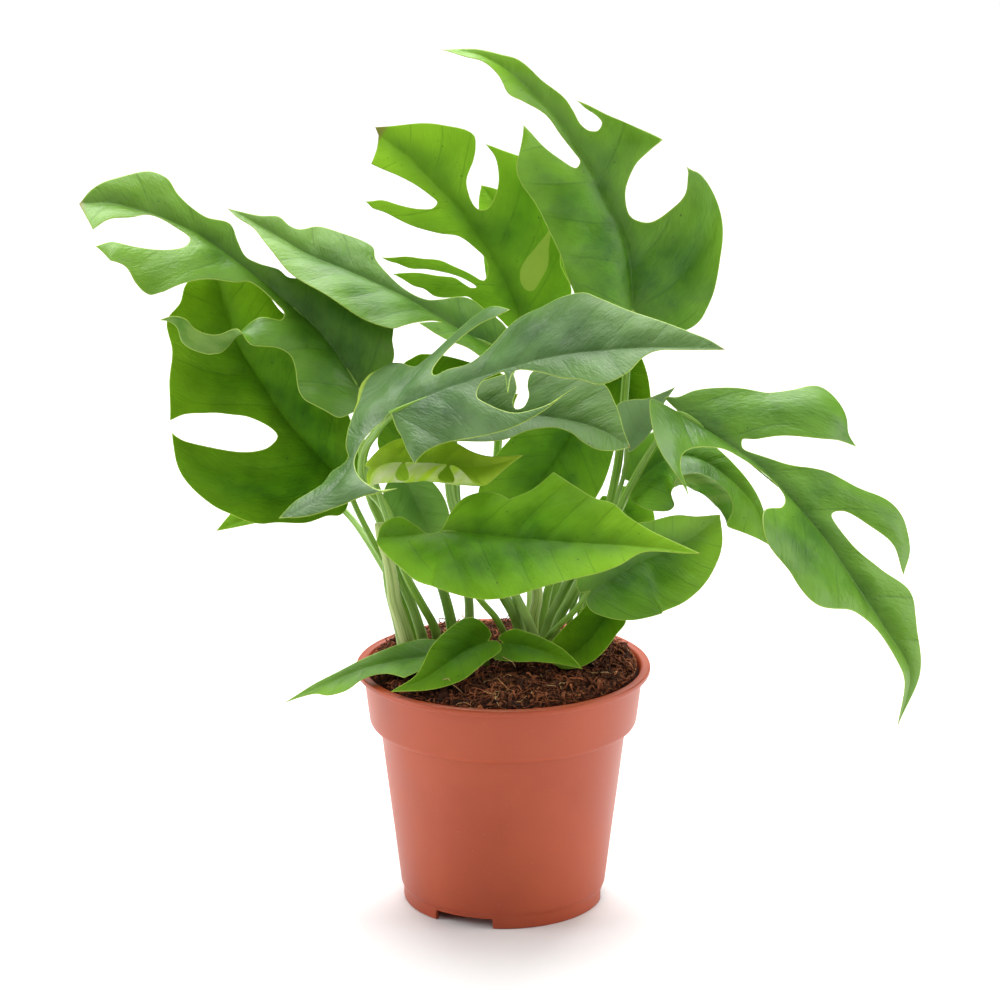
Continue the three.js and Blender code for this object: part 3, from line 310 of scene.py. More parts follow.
def pot_rings():
    """The pot's profile carried round its axis: point = (r cos a, r sin a, z). Over a notch
    the foot ring's lowest part is squeezed up to the notch's height."""
    inner_foot = FOOT_RADIUS - FOOT_WIDTH
    profile = rounded([
        (1, FLOOR_UNDER), (inner_foot, FLOOR_UNDER), (inner_foot, 0), (FOOT_RADIUS, 0),
        (FOOT_RADIUS, FLOOR_UNDER), (WALL_FOOT_RADIUS, WALL_FOOT),
        (WALL_TOP_RADIUS, BAND_FOOT - 1.5), (BAND_FOOT_RADIUS - 0.7, BAND_FOOT - 1),
        (BAND_FOOT_RADIUS, BAND_FOOT + 0.4), (BAND_TOP_RADIUS, LIP_UNDER - 0.3),
        (LIP_RADIUS, LIP_UNDER), (LIP_RADIUS, POT_HEIGHT), (BAND_TOP_RADIUS - 0.3, POT_HEIGHT),
        (BAND_TOP_RADIUS - WALL, POT_HEIGHT - 1.2), (BAND_FOOT_RADIUS - WALL, BAND_FOOT + 1),
        (WALL_TOP_RADIUS - WALL, BAND_FOOT), (WALL_FOOT_RADIUS - WALL, WALL_FOOT + 1),
        (WALL_FOOT_RADIUS - 4, FLOOR_TOP), (1, FLOOR_TOP)])
    edges = np.add.outer(NOTCHES, np.multiply([-1, 1], NOTCH_HALF_ANGLE)).ravel()
    angles = np.concatenate([np.linspace(-np.pi, np.pi, POT_STEPS, endpoint=False),
                             edges - NOTCH_EDGE / 2, edges + NOTCH_EDGE / 2])
    angles = np.unique(np.mod(angles + np.pi, 2 * np.pi) - np.pi)
    off = np.abs(np.mod(angles[:, None] - NOTCHES + np.pi, 2 * np.pi) - np.pi).min(1)
    lift = np.where(off < NOTCH_HALF_ANGLE, NOTCH_HEIGHT, 0)
    radius, height = profile[:, :1], profile[:, 1:]
    squeezed = lift + height * (FLOOR_UNDER - lift) / FLOOR_UNDER
    height = np.where(height < FLOOR_UNDER, squeezed, height)
    return np.stack([radius * np.cos(angles), radius * np.sin(angles), height], -1)


def cut(piece, tubes):
    """Cuts closed tubes, each given by its rings, out of a piece. Each cut is a Boolean whose
    result becomes the piece's mesh."""
    for rings in tubes:
        cutter = make_mesh("cutter", *skin(rings), [])
        boolean = piece.modifiers.new("cut", "BOOLEAN")
        boolean.object = cutter
        boolean.solver = "EXACT"
        bpy.context.view_layer.update()
        cut_mesh = bpy.data.meshes.new_from_object(
            piece.evaluated_get(bpy.context.evaluated_depsgraph_get()))
        piece.modifiers.clear()
        piece.data = cut_mesh
        bpy.data.objects.remove(cutter)


def pot_finish():
    """Satin moulded plastic: faint clouding in the colour, a few paler specks, and a very fine
    grain."""
    finish = Finish("terracotta_plastic")
    place = finish.place()
    clouds = finish.noise(place, 25).ramp(0.35, 0.7)
    colour = finish.mix(clouds, rgb("a54018"), rgb("ad471e"))
    specks = finish.noise(place, 900, 2).ramp(0.68, 0.76)
    colour = finish.mix(specks * 0.2, colour, rgb("cf8263"))
    grain = finish.noise(place, 1400, 2)
    return finish.finished(finish.node("ShaderNodeBsdfPrincipled", {}, {
        "Base Color": colour, "Roughness": clouds * 0.06 + 0.42,
        "Normal": finish.bump(grain, 0.00002)}))


pot = make_mesh("nursery_pot", *skin(pot_rings()), [pot_finish()])
drain_turn = np.linspace(0, 2 * np.pi, 24, endpoint=False)
drain_ring = np.stack([DRAIN_RADIUS * np.cos(drain_turn), DRAIN_RADIUS * np.sin(drain_turn),
                       0 * drain_turn], -1)
drain_ways = np.linspace(0, 2 * np.pi, DRAINS, endpoint=False)
cut(pot, [np.stack([drain_ring + (DRAIN_CIRCLE * np.cos(way), DRAIN_CIRCLE * np.sin(way), z)
                    for z in (FLOOR_UNDER - 2.5, FLOOR_TOP + 2.1)]) for way in drain_ways])
fit(pot, "pot_plastic", "pot")

# ---- Soil ----
# Moist potting mix of coir and peat, filled to the rim and mounded a little. Its surface is
# crumbly, matted with short brown fibres, a few pale straws and small chips of husk.

SOIL_RADIUS = 55
SOIL_EDGE = 98
SOIL_CROWN = 102.6
SOIL_FALL = 2.2
SOIL_FLOOR = 60
SOIL_SIDE = 90
SOIL_STEPS = 400
SOIL_RINGS = 120
HEAP = (47, 8)
HEAP_WIDTH = 9
HEAP_HEIGHT = 2.6
FIBRES = 2400
FLAKES = 1500
STRAWS = 130
CRUMBS = 1400
CHIPS = 50
FIBRE_REACH = 54.3
CLOUD_SQUARES = 64

draw = np.random.default_rng(12)


def cloud(x, y, seed):
    """Smooth random bumps from -1 to 1, one unit across: random heights on a square grid,
    eased between its points by 3t^2 - 2t^3."""
    heights = np.random.default_rng(seed).uniform(-1, 1, (CLOUD_SQUARES, CLOUD_SQUARES))
    i, j = np.floor(x).astype(int), np.floor(y).astype(int)
    s, t = x - i, y - j
    s, t = s * s * (3 - 2 * s), t * t * (3 - 2 * t)
    i, j = i % CLOUD_SQUARES, j % CLOUD_SQUARES
    next_i, next_j = (i + 1) % CLOUD_SQUARES, (j + 1) % CLOUD_SQUARES
    near = heights[i, j] * (1 - s) + heights[next_i, j] * s
    far = heights[i, next_j] * (1 - s) + heights[next_i, next_j] * s
    return near * (1 - t) + far * t


def soil_height(x, y):
    """The mound: crown - fall (r / R)^2, a heap at the right, and crumbs of three sizes. It
    drops to its edge by the pot."""
    out = np.hypot(x, y) / SOIL_RADIUS
    heap = HEAP_HEIGHT * np.exp(-((x - HEAP[0]) ** 2 + (y - HEAP[1]) ** 2) / HEAP_WIDTH ** 2)
    crumbs = cloud(x / 5, y / 5, 1) + 0.9 * cloud(x / 2.2, y / 2.2, 2) + 0.7 * cloud(x, y, 3)
    inner = SOIL_CROWN - SOIL_FALL * out ** 2 + heap + crumbs
    return inner + (SOIL_EDGE - inner) * np.clip((out - 0.94) / 0.06, 0, 1) ** 2


def soil_rings():
    """Rings of the soil's skin: a flat bottom and a side, hidden in the pot, then the surface
    from its edge to its middle."""
    angle = np.linspace(0, 2 * np.pi, SOIL_STEPS, endpoint=False)
    radius = np.concatenate([[2, SOIL_RADIUS - 8, SOIL_RADIUS - 1.5, SOIL_RADIUS],
                             np.linspace(SOIL_RADIUS - 0.3, 0.5, SOIL_RINGS)])[:, None]
    x, y = radius * np.cos(angle), radius * np.sin(angle)
    height = soil_height(x, y)
    height[:4] = np.array([SOIL_FLOOR, SOIL_FLOOR, SOIL_SIDE, SOIL_EDGE - 1])[:, None]
    return np.stack([x, y, height], -1)


def strands(lines, thick, flatness=1, sides=3):
    """Thin closed tubes round many lines at once: corner = point + thick (cos a side + sin a
    up), thinner towards both ends, and flattened upwards by flatness."""
    count, steps, _ = lines.shape
    along = unit(np.gradient(lines, axis=1))
    side = unit(np.cross(along, (0.1, 0.2, 1)))
    up = np.cross(side, along)
    angle = np.linspace(0, 2 * np.pi, sides, endpoint=False)[:, None]
    taper = 1 - 0.6 * np.abs(np.linspace(-1, 1, steps)) ** 3
    width = (thick[:, None] * taper)[:, :, None, None]
    corners = lines[:, :, None] + width * (np.cos(angle) * side[:, :, None]
                                           + flatness * np.sin(angle) * up[:, :, None])
    quads = grid_quads(steps, sides)[:, ::-1]
    starts = np.arange(count)[:, None, None] * steps * sides
    faces = (quads + starts).reshape(-1, 4).tolist()
    ends = np.stack([np.arange(sides), np.arange(sides)[::-1] + (steps - 1) * sides])
    return corners.reshape(-1, 3), faces + (ends + starts).reshape(-1, sides).tolist()


def lying_lines(count, length, curl, lift, steps=8):
    """Lines that lie on the soil: each starts at a random place, turns evenly as it goes, and
    arches up by lift between its ends."""
    radius = FIBRE_REACH * np.sqrt(draw.uniform(0, 1, count))
    spot = draw.uniform(0, 2 * np.pi, count)
    way = draw.uniform(0, 2 * np.pi, count)[:, None]
    turn = draw.normal(0, curl, count)[:, None]
    t = np.linspace(-0.5, 0.5, steps)
    step = length[:, None] / (steps - 1)
    heading = way + turn * t + 0.5 * np.sin(7 * t + way)
    x = (radius * np.cos(spot))[:, None] + np.cumsum(step * np.cos(heading), 1)
    y = (radius * np.sin(spot))[:, None] + np.cumsum(step * np.sin(heading), 1)
    pull = np.minimum(1, FIBRE_REACH / np.hypot(x, y))
    x, y = x * pull, y * pull
    arch = lift[:, None] * (1 - (2 * t + draw.uniform(-0.5, 0.5, count)[:, None]) ** 2)
    return np.stack([x, y, soil_height(x, y) + arch], -1)


def grains(count, size, flatness):
    """Many small lumps: a twenty-sided ball with uneven corners, squashed by flatness and
    turned at random, set in the soil's surface."""
    gold = (1 + 5 ** 0.5) / 2
    ball = np.array([(-1, gold, 0), (1, gold, 0), (-1, -gold, 0), (1, -gold, 0),
                     (0, -1, gold), (0, 1, gold), (0, -1, -gold), (0, 1, -gold),
                     (gold, 0, -1), (gold, 0, 1), (-gold, 0, -1), (-gold, 0, 1)]) / 1.9
    faces = np.array([(0, 11, 5), (0, 5, 1), (0, 1, 7), (0, 7, 10), (0, 10, 11), (1, 5, 9),
                      (5, 11, 4), (11, 10, 2), (10, 7, 6), (7, 1, 8), (3, 9, 4), (3, 4, 2),
                      (3, 2, 6), (3, 6, 8), (3, 8, 9), (4, 9, 5), (2, 4, 11), (6, 2, 10),
                      (8, 6, 7), (9, 8, 1)])
    shape = ball * draw.uniform(0.65, 1.35, (count, 12, 1)) * size[:, None, None]
    shape = shape * (1, flatness ** 0.5, flatness)
    yaw, tilt = draw.uniform(0, 2 * np.pi, (count, 1)), draw.normal(0, 0.4, (count, 1))
    x = shape[..., 0] * np.cos(tilt) - shape[..., 2] * np.sin(tilt)
    z = shape[..., 0] * np.sin(tilt) + shape[..., 2] * np.cos(tilt)
    radius = (FIBRE_REACH - 1) * np.sqrt(draw.uniform(0, 1, (count, 1)))
    spot = draw.uniform(0, 2 * np.pi, (count, 1))
    middle_x, middle_y = radius * np.cos(spot), radius * np.sin(spot)
    points = np.stack([middle_x + x * np.cos(yaw) - shape[..., 1] * np.sin(yaw),
                       middle_y + x * np.sin(yaw) + shape[..., 1] * np.cos(yaw),
                       soil_height(middle_x, middle_y) + z + 0.1 * size[:, None]], -1)
    faces = faces + np.arange(count)[:, None, None] * 12
    return points.reshape(-1, 3), faces.reshape(-1, 3).tolist()


def coir_finish(name, dark, light, straw):
    """Dull fibre and peat: dark to light by each bit's own shade, mottled along it."""
    finish = Finish(name)
    place = finish.place()
    mottle = finish.noise(place, 700, 3).ramp(0.35, 0.65)
    shade = finish.number("shade")
    colour = finish.mix(shade.ramp(0, 0.8) * (mottle * 0.5 + 0.5), dark, light)
    colour = finish.mix(shade.ramp(0.9, 1), colour, straw)
    return finish.finished(finish.node("ShaderNodeBsdfPrincipled", {}, {
        "Base Color": colour, "Roughness": 0.9, "Specular IOR Level": 0.25,
        "Normal": finish.bump(finish.noise(place, 2500, 3), 0.0001)}))


peat_finish = coir_finish("peat", rgb("160b07"), rgb("4a2819"), rgb("4a2819"))
fibre_finish = coir_finish("coir", rgb("2a120a"), rgb("b86c44"), rgb("e6c088"))

points, faces = skin(soil_rings())
soil = make_mesh("potting_mix", points, faces, [peat_finish], {
    "shade": 0.5 + 0.5 * cloud(points[:, 0] / 1.5, points[:, 1] / 1.5, 5)})
fit(soil, "soil_mix", "soil")


def litter(name, bits, shade):
    """One layer of loose bits on the soil, with a shade for each bit."""
    points, faces = bits
    shades = np.repeat(shade, len(points) // len(shade))
    fit(make_mesh(name, points, faces, [fibre_finish], {"shade": shades}), "soil_mix")


litter("coir_fibres", strands(
    lying_lines(FIBRES, draw.uniform(4, 15, FIBRES), 2.2, draw.gamma(1.6, 0.7, FIBRES)),
    draw.uniform(0.12, 0.34, FIBRES)), draw.beta(1.6, 2.2, FIBRES) * 0.85)
litter("coir_flakes", strands(
    lying_lines(FLAKES, draw.uniform(2.5, 8, FLAKES), 2.6, draw.gamma(1.6, 0.6, FLAKES), 6),
    draw.uniform(0.35, 0.8, FLAKES), 0.25, 4), draw.beta(1.5, 2, FLAKES) * 0.85)
litter("pale_straws", strands(
    lying_lines(STRAWS, draw.uniform(8, 22, STRAWS), 1.6, draw.gamma(2, 0.8, STRAWS), 12),
    draw.uniform(0.13, 0.22, STRAWS)), draw.uniform(0.88, 1, STRAWS))
litter("peat_crumbs", grains(CRUMBS, draw.gamma(3, 0.24, CRUMBS) + 0.25, 0.7),
       draw.uniform(0, 0.5, CRUMBS))
litter("husk_chips", grains(CHIPS, draw.uniform(1, 2.6, CHIPS), 0.3),
       draw.uniform(0.3, 0.75, CHIPS))

# ---- Leaves ----
# Each leaf is a thin, soft, waxy blade on a round green stalk. The midrib is sunk in the
# upper side and stands out below. The blade is cut between its side veins, and its edge is
# a thin pale line. Stalks rise from the soil and run on under the midrib.

CORNER = 1
BLADE = 0.42
BLADE_EDGE = 0.2
EDGE_STEP = 1.5
EDGE_TAPER = 1.5
GRID_STEP = 1.9
GRID_ROW = GRID_STEP * 0.87
RIB_STEP = 1.6
RIB_ROWS = [-1.7, -0.9, -0.35, 0, 0.35, 0.9, 1.7]
RIB_CLEAR = 2.4
RIM = 0.45
PUFF = 0.75
PUFF_REACH = 6
GROOVE = 0.28
GROOVE_WIDTH = 1.1
RIDGE = 0.8
RIDGE_AT_TIP = 0.15
RIDGE_WIDTH = 0.8
STALK_SIDES = 14
STALK_STEP = 3
UNDER_BLADE = 0.3
STALK_HEIGHTS_IN_SOIL = (84, 99, 105)
NEAR = 0.3
WAVE_REACH = 25
WAVE_LIMIT = 1.6
LEFT_WAVE_LAG = 1.6
# The veins' own darker green, also used as the painted shade in and beside the midrib's groove.
VEIN_GREEN_AND_RIB_SHADE = "1f4408"
SPECK_BROWN = "20280c"
EDGE_LIME = "aec850"
DRY_BROWN = "8c7040"
FOOT_GREEN = "c0d488"


def spline(points, step):
    """A smooth line through the points (centripetal Catmull-Rom), with a point about every
    step."""
    given = np.array(points, float)
    ends = np.vstack([2 * given[0] - given[1], given, 2 * given[-1] - given[-2]])
    line = []
    for a, b, c, d in zip(ends, ends[1:], ends[2:], ends[3:]):
        k = [max(np.linalg.norm(q - p) ** 0.5, 1e-4) for p, q in ((a, b), (b, c), (c, d))]
        leave = ((b - a) / k[0] - (c - a) / (k[0] + k[1]) + (c - b) / k[1]) * k[1]
        arrive = ((c - b) / k[1] - (d - b) / (k[1] + k[2]) + (d - c) / k[2]) * k[1]
        t = np.arange(max(1, np.ceil(k[1] ** 2 / step)))[:, None]
        t = t / len(t)
        line.append((2 * t ** 3 - 3 * t ** 2 + 1) * b + (t ** 3 - 2 * t ** 2 + t) * leave
                    + (3 * t ** 2 - 2 * t ** 3) * c + (t ** 3 - t ** 2) * arrive)
    return np.vstack(line + [given[-1:]])


def run_along(line):
    """How far along a line each of its points is."""
    return np.append(0, np.cumsum(np.linalg.norm(np.diff(line, axis=0), axis=1)))


def square_to(surface, u, v):
    """The way square to a surface: the cross product of its slopes along v and u."""
    by_u = surface(u + NEAR, v) - surface(u - NEAR, v)
    by_v = surface(u, v + NEAR) - surface(u, v - NEAR)
    return unit(np.cross(by_v, by_u))


def heading(degrees):
    """The parts along u and v of a way on a flat leaf, at an angle from the midrib."""
    return np.cos(np.radians(degrees)), np.sin(np.radians(degrees))


def along_line(at, stops, values):
    """Values at the stops, read off between them."""
    return np.stack([np.interp(at, stops, values[:, i]) for i in range(values.shape[1])], -1)


class Sheet:
    """The bent sheet of a leaf. A point lies u along the midrib, v out from it and w off the
    surface. Each half leaves the midrib at its fold angle f and curves by k per millimetre:
    out = (sin(f + k v) - sin f) / k and up = (cos f - cos(f + k v)) / k. A wave lifts the
    sheet by size min(v / WAVE_REACH, WAVE_LIMIT)^2 sin(2 pi u / length + start). Past the line
    through (u, v) square to a way, a curl rolls the sheet up by so much per millimetre, and a
    twist turns it about that way to its full angle over its run, both within a width each
    side."""

    def __init__(self, rib, facing, fold, bend, back, wave, curls, twists):
        line = spline(list(back)[::-1] + list(rib), 1)
        run = run_along(line)
        start = np.linalg.norm(line - rib[0], axis=1).argmin()
        self.line, self.run = line, run - run[start]
        self.length, self.first = self.run[-1], self.run[0]
        self.along = unit(np.gradient(line, run, axis=0))
        self.facing = np.array(facing, float)
        self.fold, self.bend = np.radians(np.resize(fold, 4)), np.resize(bend, 2)
        self.wave, self.curls, self.twists = wave, curls, twists

    def plain(self, u, v):
        """The sheet before its curls and twists."""
        held = np.clip(u, self.first, self.length)
        along = unit(along_line(held, self.run, self.along))
        middle = along_line(held, self.run, self.line) + along * (u - held)[..., None]
        share = (held - self.first) / (self.length - self.first) * (len(self.facing) - 1)
        up = along_line(share, np.arange(len(self.facing)), self.facing)
        up = unit(up - (up * along).sum(-1, keepdims=True) * along)
        side = np.cross(along, up)
        right, right_tip, left, left_tip = self.fold
        share = np.clip(u / self.length, 0, 1)
        fold = np.where(v > 0, right + (right_tip - right) * share,
                        left + (left_tip - left) * share)
        curve = np.where(v > 0, self.bend[0], self.bend[1])
        out = np.abs(v)
        reach = (np.sin(fold + curve * out) - np.sin(fold)) / curve
        lift = (np.cos(fold) - np.cos(fold + curve * out)) / curve
        size, length, start = self.wave
        swell = size * np.minimum(out / WAVE_REACH, WAVE_LIMIT) ** 2
        lag = np.where(v > 0, 0, LEFT_WAVE_LAG)
        lift = lift + swell * np.sin(2 * np.pi * u / length + start + lag)
        return middle + side * (np.sign(v) * reach)[..., None] + up * lift[..., None]

    def on(self, u, v):
        """The sheet with its curls and twists."""
        rise = 0 * u
        for from_u, from_v, way, rate, width in self.curls:
            way_u, way_v = heading(way)
            past = (u - from_u) * way_u + (v - from_v) * way_v
            beside = np.abs((v - from_v) * way_u - (u - from_u) * way_v)
            turn = np.maximum(past, 0) * rate * np.clip(2.5 - 2.5 * beside / width, 0, 1)
            straight = turn == 0
            turn = np.where(straight, 1, turn)
            rise = rise + np.where(straight, 0, past * (1 - np.cos(turn)) / turn)
            rolled = np.where(straight, 0, past * (np.sin(turn) / turn - 1))
            u, v = u + rolled * way_u, v + rolled * way_v
        for from_u, from_v, way, full, run, width in self.twists:
            way_u, way_v = heading(way)
            past = np.clip(((u - from_u) * way_u + (v - from_v) * way_v) / run, 0, 1)
            beside = (v - from_v) * way_u - (u - from_u) * way_v
            turn = np.radians(full) * past ** 2 * (3 - 2 * past) * (np.abs(beside) < width)
            rise = rise + beside * np.sin(turn)
            shift = beside * (np.cos(turn) - 1)
            u, v = u - shift * way_v, v + shift * way_u
        if not self.curls and not self.twists:
            return self.plain(u, v)
        return self.plain(u, v) + square_to(self.plain, u, v) * np.asarray(rise)[..., None]

    def at(self, u, v, w):
        """The place of a point at height w off the sheet."""
        return self.on(u, v) + square_to(self.on, u, v) * np.asarray(w)[..., None]


def leaf_edge(right, left, length):
    """The edge as one closed line: smooth from corner to corner, with corners at the stalk, at
    the tip and at the points of the lobes."""
    loop = [(0, 0, CORNER), *right, (length, 0, CORNER), *left[::-1], (0, 0, CORNER)]
    corners = [i for i, point in enumerate(loop) if len(point) > 2]
    runs = [[point[:2] for point in loop[a:b + 1]] for a, b in zip(corners, corners[1:])]
    return np.vstack([spline(run, EDGE_STEP)[:-1] for run in runs])


def edge_distance(points, loop):
    """How far each point is from the loop, and whether it lies inside."""
    a, b = loop, np.roll(loop, -1, 0)
    way = b - a
    from_a = points[:, None] - a
    share = np.clip((from_a * way).sum(-1) / (way ** 2).sum(-1), 0, 1)
    distance = np.linalg.norm(from_a - share[..., None] * way, axis=-1).min(1)
    x, y = points[:, :1], points[:, 1:]
    crosses = (a[:, 1] > y) != (b[:, 1] > y)
    rise = np.where(way[:, 1] == 0, 1, way[:, 1])
    hits = crosses & (x < a[:, 0] + (y - a[:, 1]) / rise * way[:, 0])
    return distance, hits.sum(1) % 2 == 1


def blade_points(loop):
    """Points over a blade: a row just within the edge, close rows along the midrib, and
    staggered rows over the rest."""
    ahead = np.roll(loop, -1, 0) - np.roll(loop, 1, 0)
    inward = unit(np.stack([-ahead[:, 1], ahead[:, 0]], 1))
    inset = np.vstack([loop + side * RIM * inward for side in (-1, 1)])
    low, high = loop.min(0), loop.max(0)
    u, v = np.mgrid[low[0]:high[0]:GRID_STEP, low[1]:high[1]:GRID_ROW]
    row = np.round((v[0] - low[1]) / GRID_ROW)
    u = u + (row % 2) * GRID_STEP / 2
    grid = np.stack([u.ravel(), v.ravel()], 1)
    grid = grid[np.abs(grid[:, 1]) > RIB_CLEAR]
    u, v = np.meshgrid(np.arange(low[0], high[0], RIB_STEP), RIB_ROWS)
    rib = np.stack([u.ravel(), v.ravel()], 1)
    kept = []
    for group, margin in ((inset, RIM * 0.9), (rib, RIM * 1.8), (grid, RIM * 2.4)):
        distance, inside = edge_distance(group, loop)
        kept.append(group[inside & (distance > margin)])
    return np.vstack(kept)


def blade_mesh(sheet, loop, seed):
    """The blade as one closed mesh: its upper and under side share their triangles. It puffs
    up between its side veins, which leave the midrib at about 55 degrees, bend towards the
    tip, and stand closer together on a small leaf. The upper side has a groove along the
    midrib, and the under side a ridge that fades to the tip."""
    flat = np.vstack([loop, blade_points(loop)])
    edges = [(i, (i + 1) % len(loop)) for i in range(len(loop))]
    made = delaunay_2d_cdt([tuple(p) for p in flat], edges, [], 1, 1e-4)
    flat = np.array([tuple(p) for p in made[0]])
    triangles = np.array(made[2])
    margin, _ = edge_distance(flat, loop)
    margin = np.where(margin < 0.02, 0, margin)
    u, v = flat.T
    out = np.abs(v)
    to_tip = np.clip(1 - u / sheet.length, 0, 1)
    vein_gap = 3 + 0.11 * sheet.length
    veins = (u - 0.62 * out - 0.004 * out ** 2) / vein_gap
    inland = np.clip(margin / PUFF_REACH, 0, 1)
    puff = PUFF * (vein_gap / 18) * np.abs(np.sin(np.pi * veins))
    puff = puff * np.clip(out / PUFF_REACH, 0, 1) * inland
    puff = puff + 0.5 * cloud(u / 15 + seed, v / 11, seed) * (0.4 + 0.6 * inland)
    puff = puff + 0.12 * cloud(u / 5 + seed, v / 4, seed + 1) * inland
    half = BLADE_EDGE / 2 + (BLADE - BLADE_EDGE) / 2 * np.clip(margin / EDGE_TAPER, 0, 1)
    fade = np.clip(margin / 2, 0, 1)
    groove = GROOVE * np.exp(-(v / GROOVE_WIDTH) ** 2) * np.clip(to_tip * 5, 0, 1) * fade
    ridge = (RIDGE_AT_TIP + RIDGE * to_tip) * np.exp(-(v / RIDGE_WIDTH) ** 2) * fade
    upper = sheet.at(u, v, puff + half - groove)
    under = sheet.at(u, v, puff - half - ridge)
    count = len(flat)
    sides = np.stack([triangles, np.roll(triangles, -1, 1)], -1).reshape(-1, 2)
    _, where, shared = np.unique(np.sort(sides, 1), axis=0, return_index=True, return_counts=True)
    border = sides[where[shared == 1]]
    rim = np.stack([border[:, 0], border[:, 1], border[:, 1] + count, border[:, 0] + count], 1)
    faces = triangles[:, ::-1].tolist() + (triangles + count).tolist() + rim.tolist()
    numbers = {"margin": np.tile(margin, 2), "vein": np.tile(veins, 2),
               "tip": np.tile(1 - to_tip, 2), "under": np.repeat([0.0, 1.0], count)}
    return np.vstack([upper, under]), faces, numbers, np.tile(flat / 100, (2, 1))


def out_of_soil(foot, route):
    """A smooth line that rises from its foot in the soil and follows a route."""
    return spline([*[(*foot, height) for height in STALK_HEIGHTS_IN_SOIL], *route], STALK_STEP)


def stem_tube(line, width, lean, sides, across, deep, channel=0):
    """A closed tube: corner = line + width (across cos a side + deep sin a front), with side
    square to lean and a shallow channel in front. It gives points, faces and a UV map."""
    run = run_along(line)
    along = unit(np.gradient(line, run, axis=0))
    side = unit(np.cross(lean, along))
    front = np.cross(along, side)
    angle = np.linspace(0, 2 * np.pi, sides, endpoint=False)
    inset = 1 - channel * np.exp(-((angle - np.pi / 2) / 0.45) ** 2)
    x, y = across * np.cos(angle) * inset, deep * np.sin(angle) * inset
    points, faces = skin(line[:, None] + width[:, None, None] * (
        x[:, None] * side[:, None] + y[:, None] * front[:, None]))
    flat = np.stack([np.tile(angle / (2 * np.pi), len(line)), np.repeat(run, sides) / 100], 1)
    return points, faces, np.vstack([flat, flat[0], flat[-1]])


def stalk_mesh(sheet, foot, stalk, radius):
    """The stalk runs from the soil to under the midrib. It swells at the soil and where it
    meets the blade, and is thin under it. share is how far along its free part a point is."""
    under = [sheet.at(np.array(u * sheet.length), np.array(0.0), np.array(-depth))
             for u, depth in ((0, 1.5), (UNDER_BLADE / 2, 1.3), (UNDER_BLADE, 0.5))]
    line = out_of_soil(foot, [*stalk, *under])
    run = run_along(line)
    free = run[-1] - UNDER_BLADE * sheet.length
    share = run / free
    width = radius[0] + (radius[1] - radius[0]) * np.clip(share, 0, 1)
    width = width * (1 + 0.3 * np.exp(-((run - 16) / 9) ** 2)
                     + 0.12 * np.exp(-((run - free) / 5) ** 2))
    beyond = np.clip((run - free) / (run[-1] - free), 0, 1)
    width = width * (1 - 0.8 * np.minimum(1, 2 * beyond))
    share = np.append(np.repeat(share, STALK_SIDES), [0, share[-1]])
    return *stem_tube(line, width, (0.2, -1, 0.15), STALK_SIDES, 1.06, 0.94, 0.18), share


def leaf_finish(name, dark, light, warm, under, rough, shine, glow, share):
    """A waxy blade: two greens in soft clouds and in streaks that fan out along the side
    veins, partly its own mottling and partly painted sheen. It is warmer towards its edge and
    tip, near the tip as painted glow of light shining through. The midrib has painted shade in
    its groove and in a band beside it, and the side veins are darker. It has a thin lime-green
    edge, a dry brown point and a few dark specks. The under side is duller, and part of the
    light shines through."""
    finish = Finish(name)
    flat = finish.node("ShaderNodeUVMap", {"uv_map": "flat"}, {})
    across = finish.node("ShaderNodeSeparateXYZ", {}, {"Vector": flat}, "Y")
    out = across.math("ABSOLUTE") * 100
    vein = finish.number("vein")
    edge = finish.number("margin")
    fan_place = finish.node("ShaderNodeCombineXYZ", {}, {0: vein, 1: out * 0.02, 2: across * 3})
    fan = finish.noise(fan_place, 2.2, 4).ramp(0.3, 0.7)
    fine = finish.noise(fan_place, 14, 3).ramp(0.3, 0.7)
    # The two greens in clouds and fanning streaks are partly the leaf's own mottling and partly
    # painted sheen.
    clouds = finish.noise(flat, 6, 3).ramp(0.35, 0.65)
    colour = finish.mix(clouds * 0.4 + fan * 0.4 + fine * 0.2, rgb(dark), rgb(light))
    # Warmer towards the edge and the tip; near the tip this is painted glow of light shining through
    # the blade.
    warmth = edge.ramp(16, 0) * 0.4 + finish.number("tip").ramp(0.3, 1) * 0.6 + clouds * 0.15
    colour = finish.mix(warmth, colour, rgb(warm))
    # Painted shade: a dark band beside the midrib for the shade in its valley, and a thin dark line
    # along it for the shadow in its groove. The side-vein lines are the veins' own darker green.
    rib_valley_painted_shade = out.ramp(9, 0.6) * 0.3
    vein_line = (vein.math("FRACT") - 0.5).math("ABSOLUTE").ramp(0.45, 0.5)
    vein_line = vein_line * out.ramp(1, 6) * out.ramp(34, 14) * 0.28
    rib_groove_painted_shade = out.ramp(1, 0.2) * 0.3
    colour = finish.mix(rib_valley_painted_shade.math("MAXIMUM", vein_line).math("MAXIMUM", rib_groove_painted_shade),
                        colour, rgb(VEIN_GREEN_AND_RIB_SHADE))
    specks = finish.noise(flat, 75, 0).ramp(0.83, 0.85)
    colour = finish.mix(specks * 0.8, colour, rgb(SPECK_BROWN))
    below = finish.number("under")
    under_colour = finish.mix(fan, rgb(under), rgb(light))
    colour = finish.mix(below * 0.9, colour, under_colour)
    colour = finish.mix(edge.ramp(0.42, 0.1) * 0.75, colour, rgb(EDGE_LIME))
    colour = finish.mix(finish.number("tip").ramp(0.98, 1) * 0.7, colour, rgb(DRY_BROWN))
    height = fan * 0.5 + fine * 0.2 - vein_line * 0.5
    return finish.finished_thin({
        "Base Color": colour, "Roughness": below * 0.15 + fan * 0.08 + fine * 0.08 + rough,
        "Normal": finish.bump(height, 0.0004), "Specular IOR Level": shine}, glow, share)


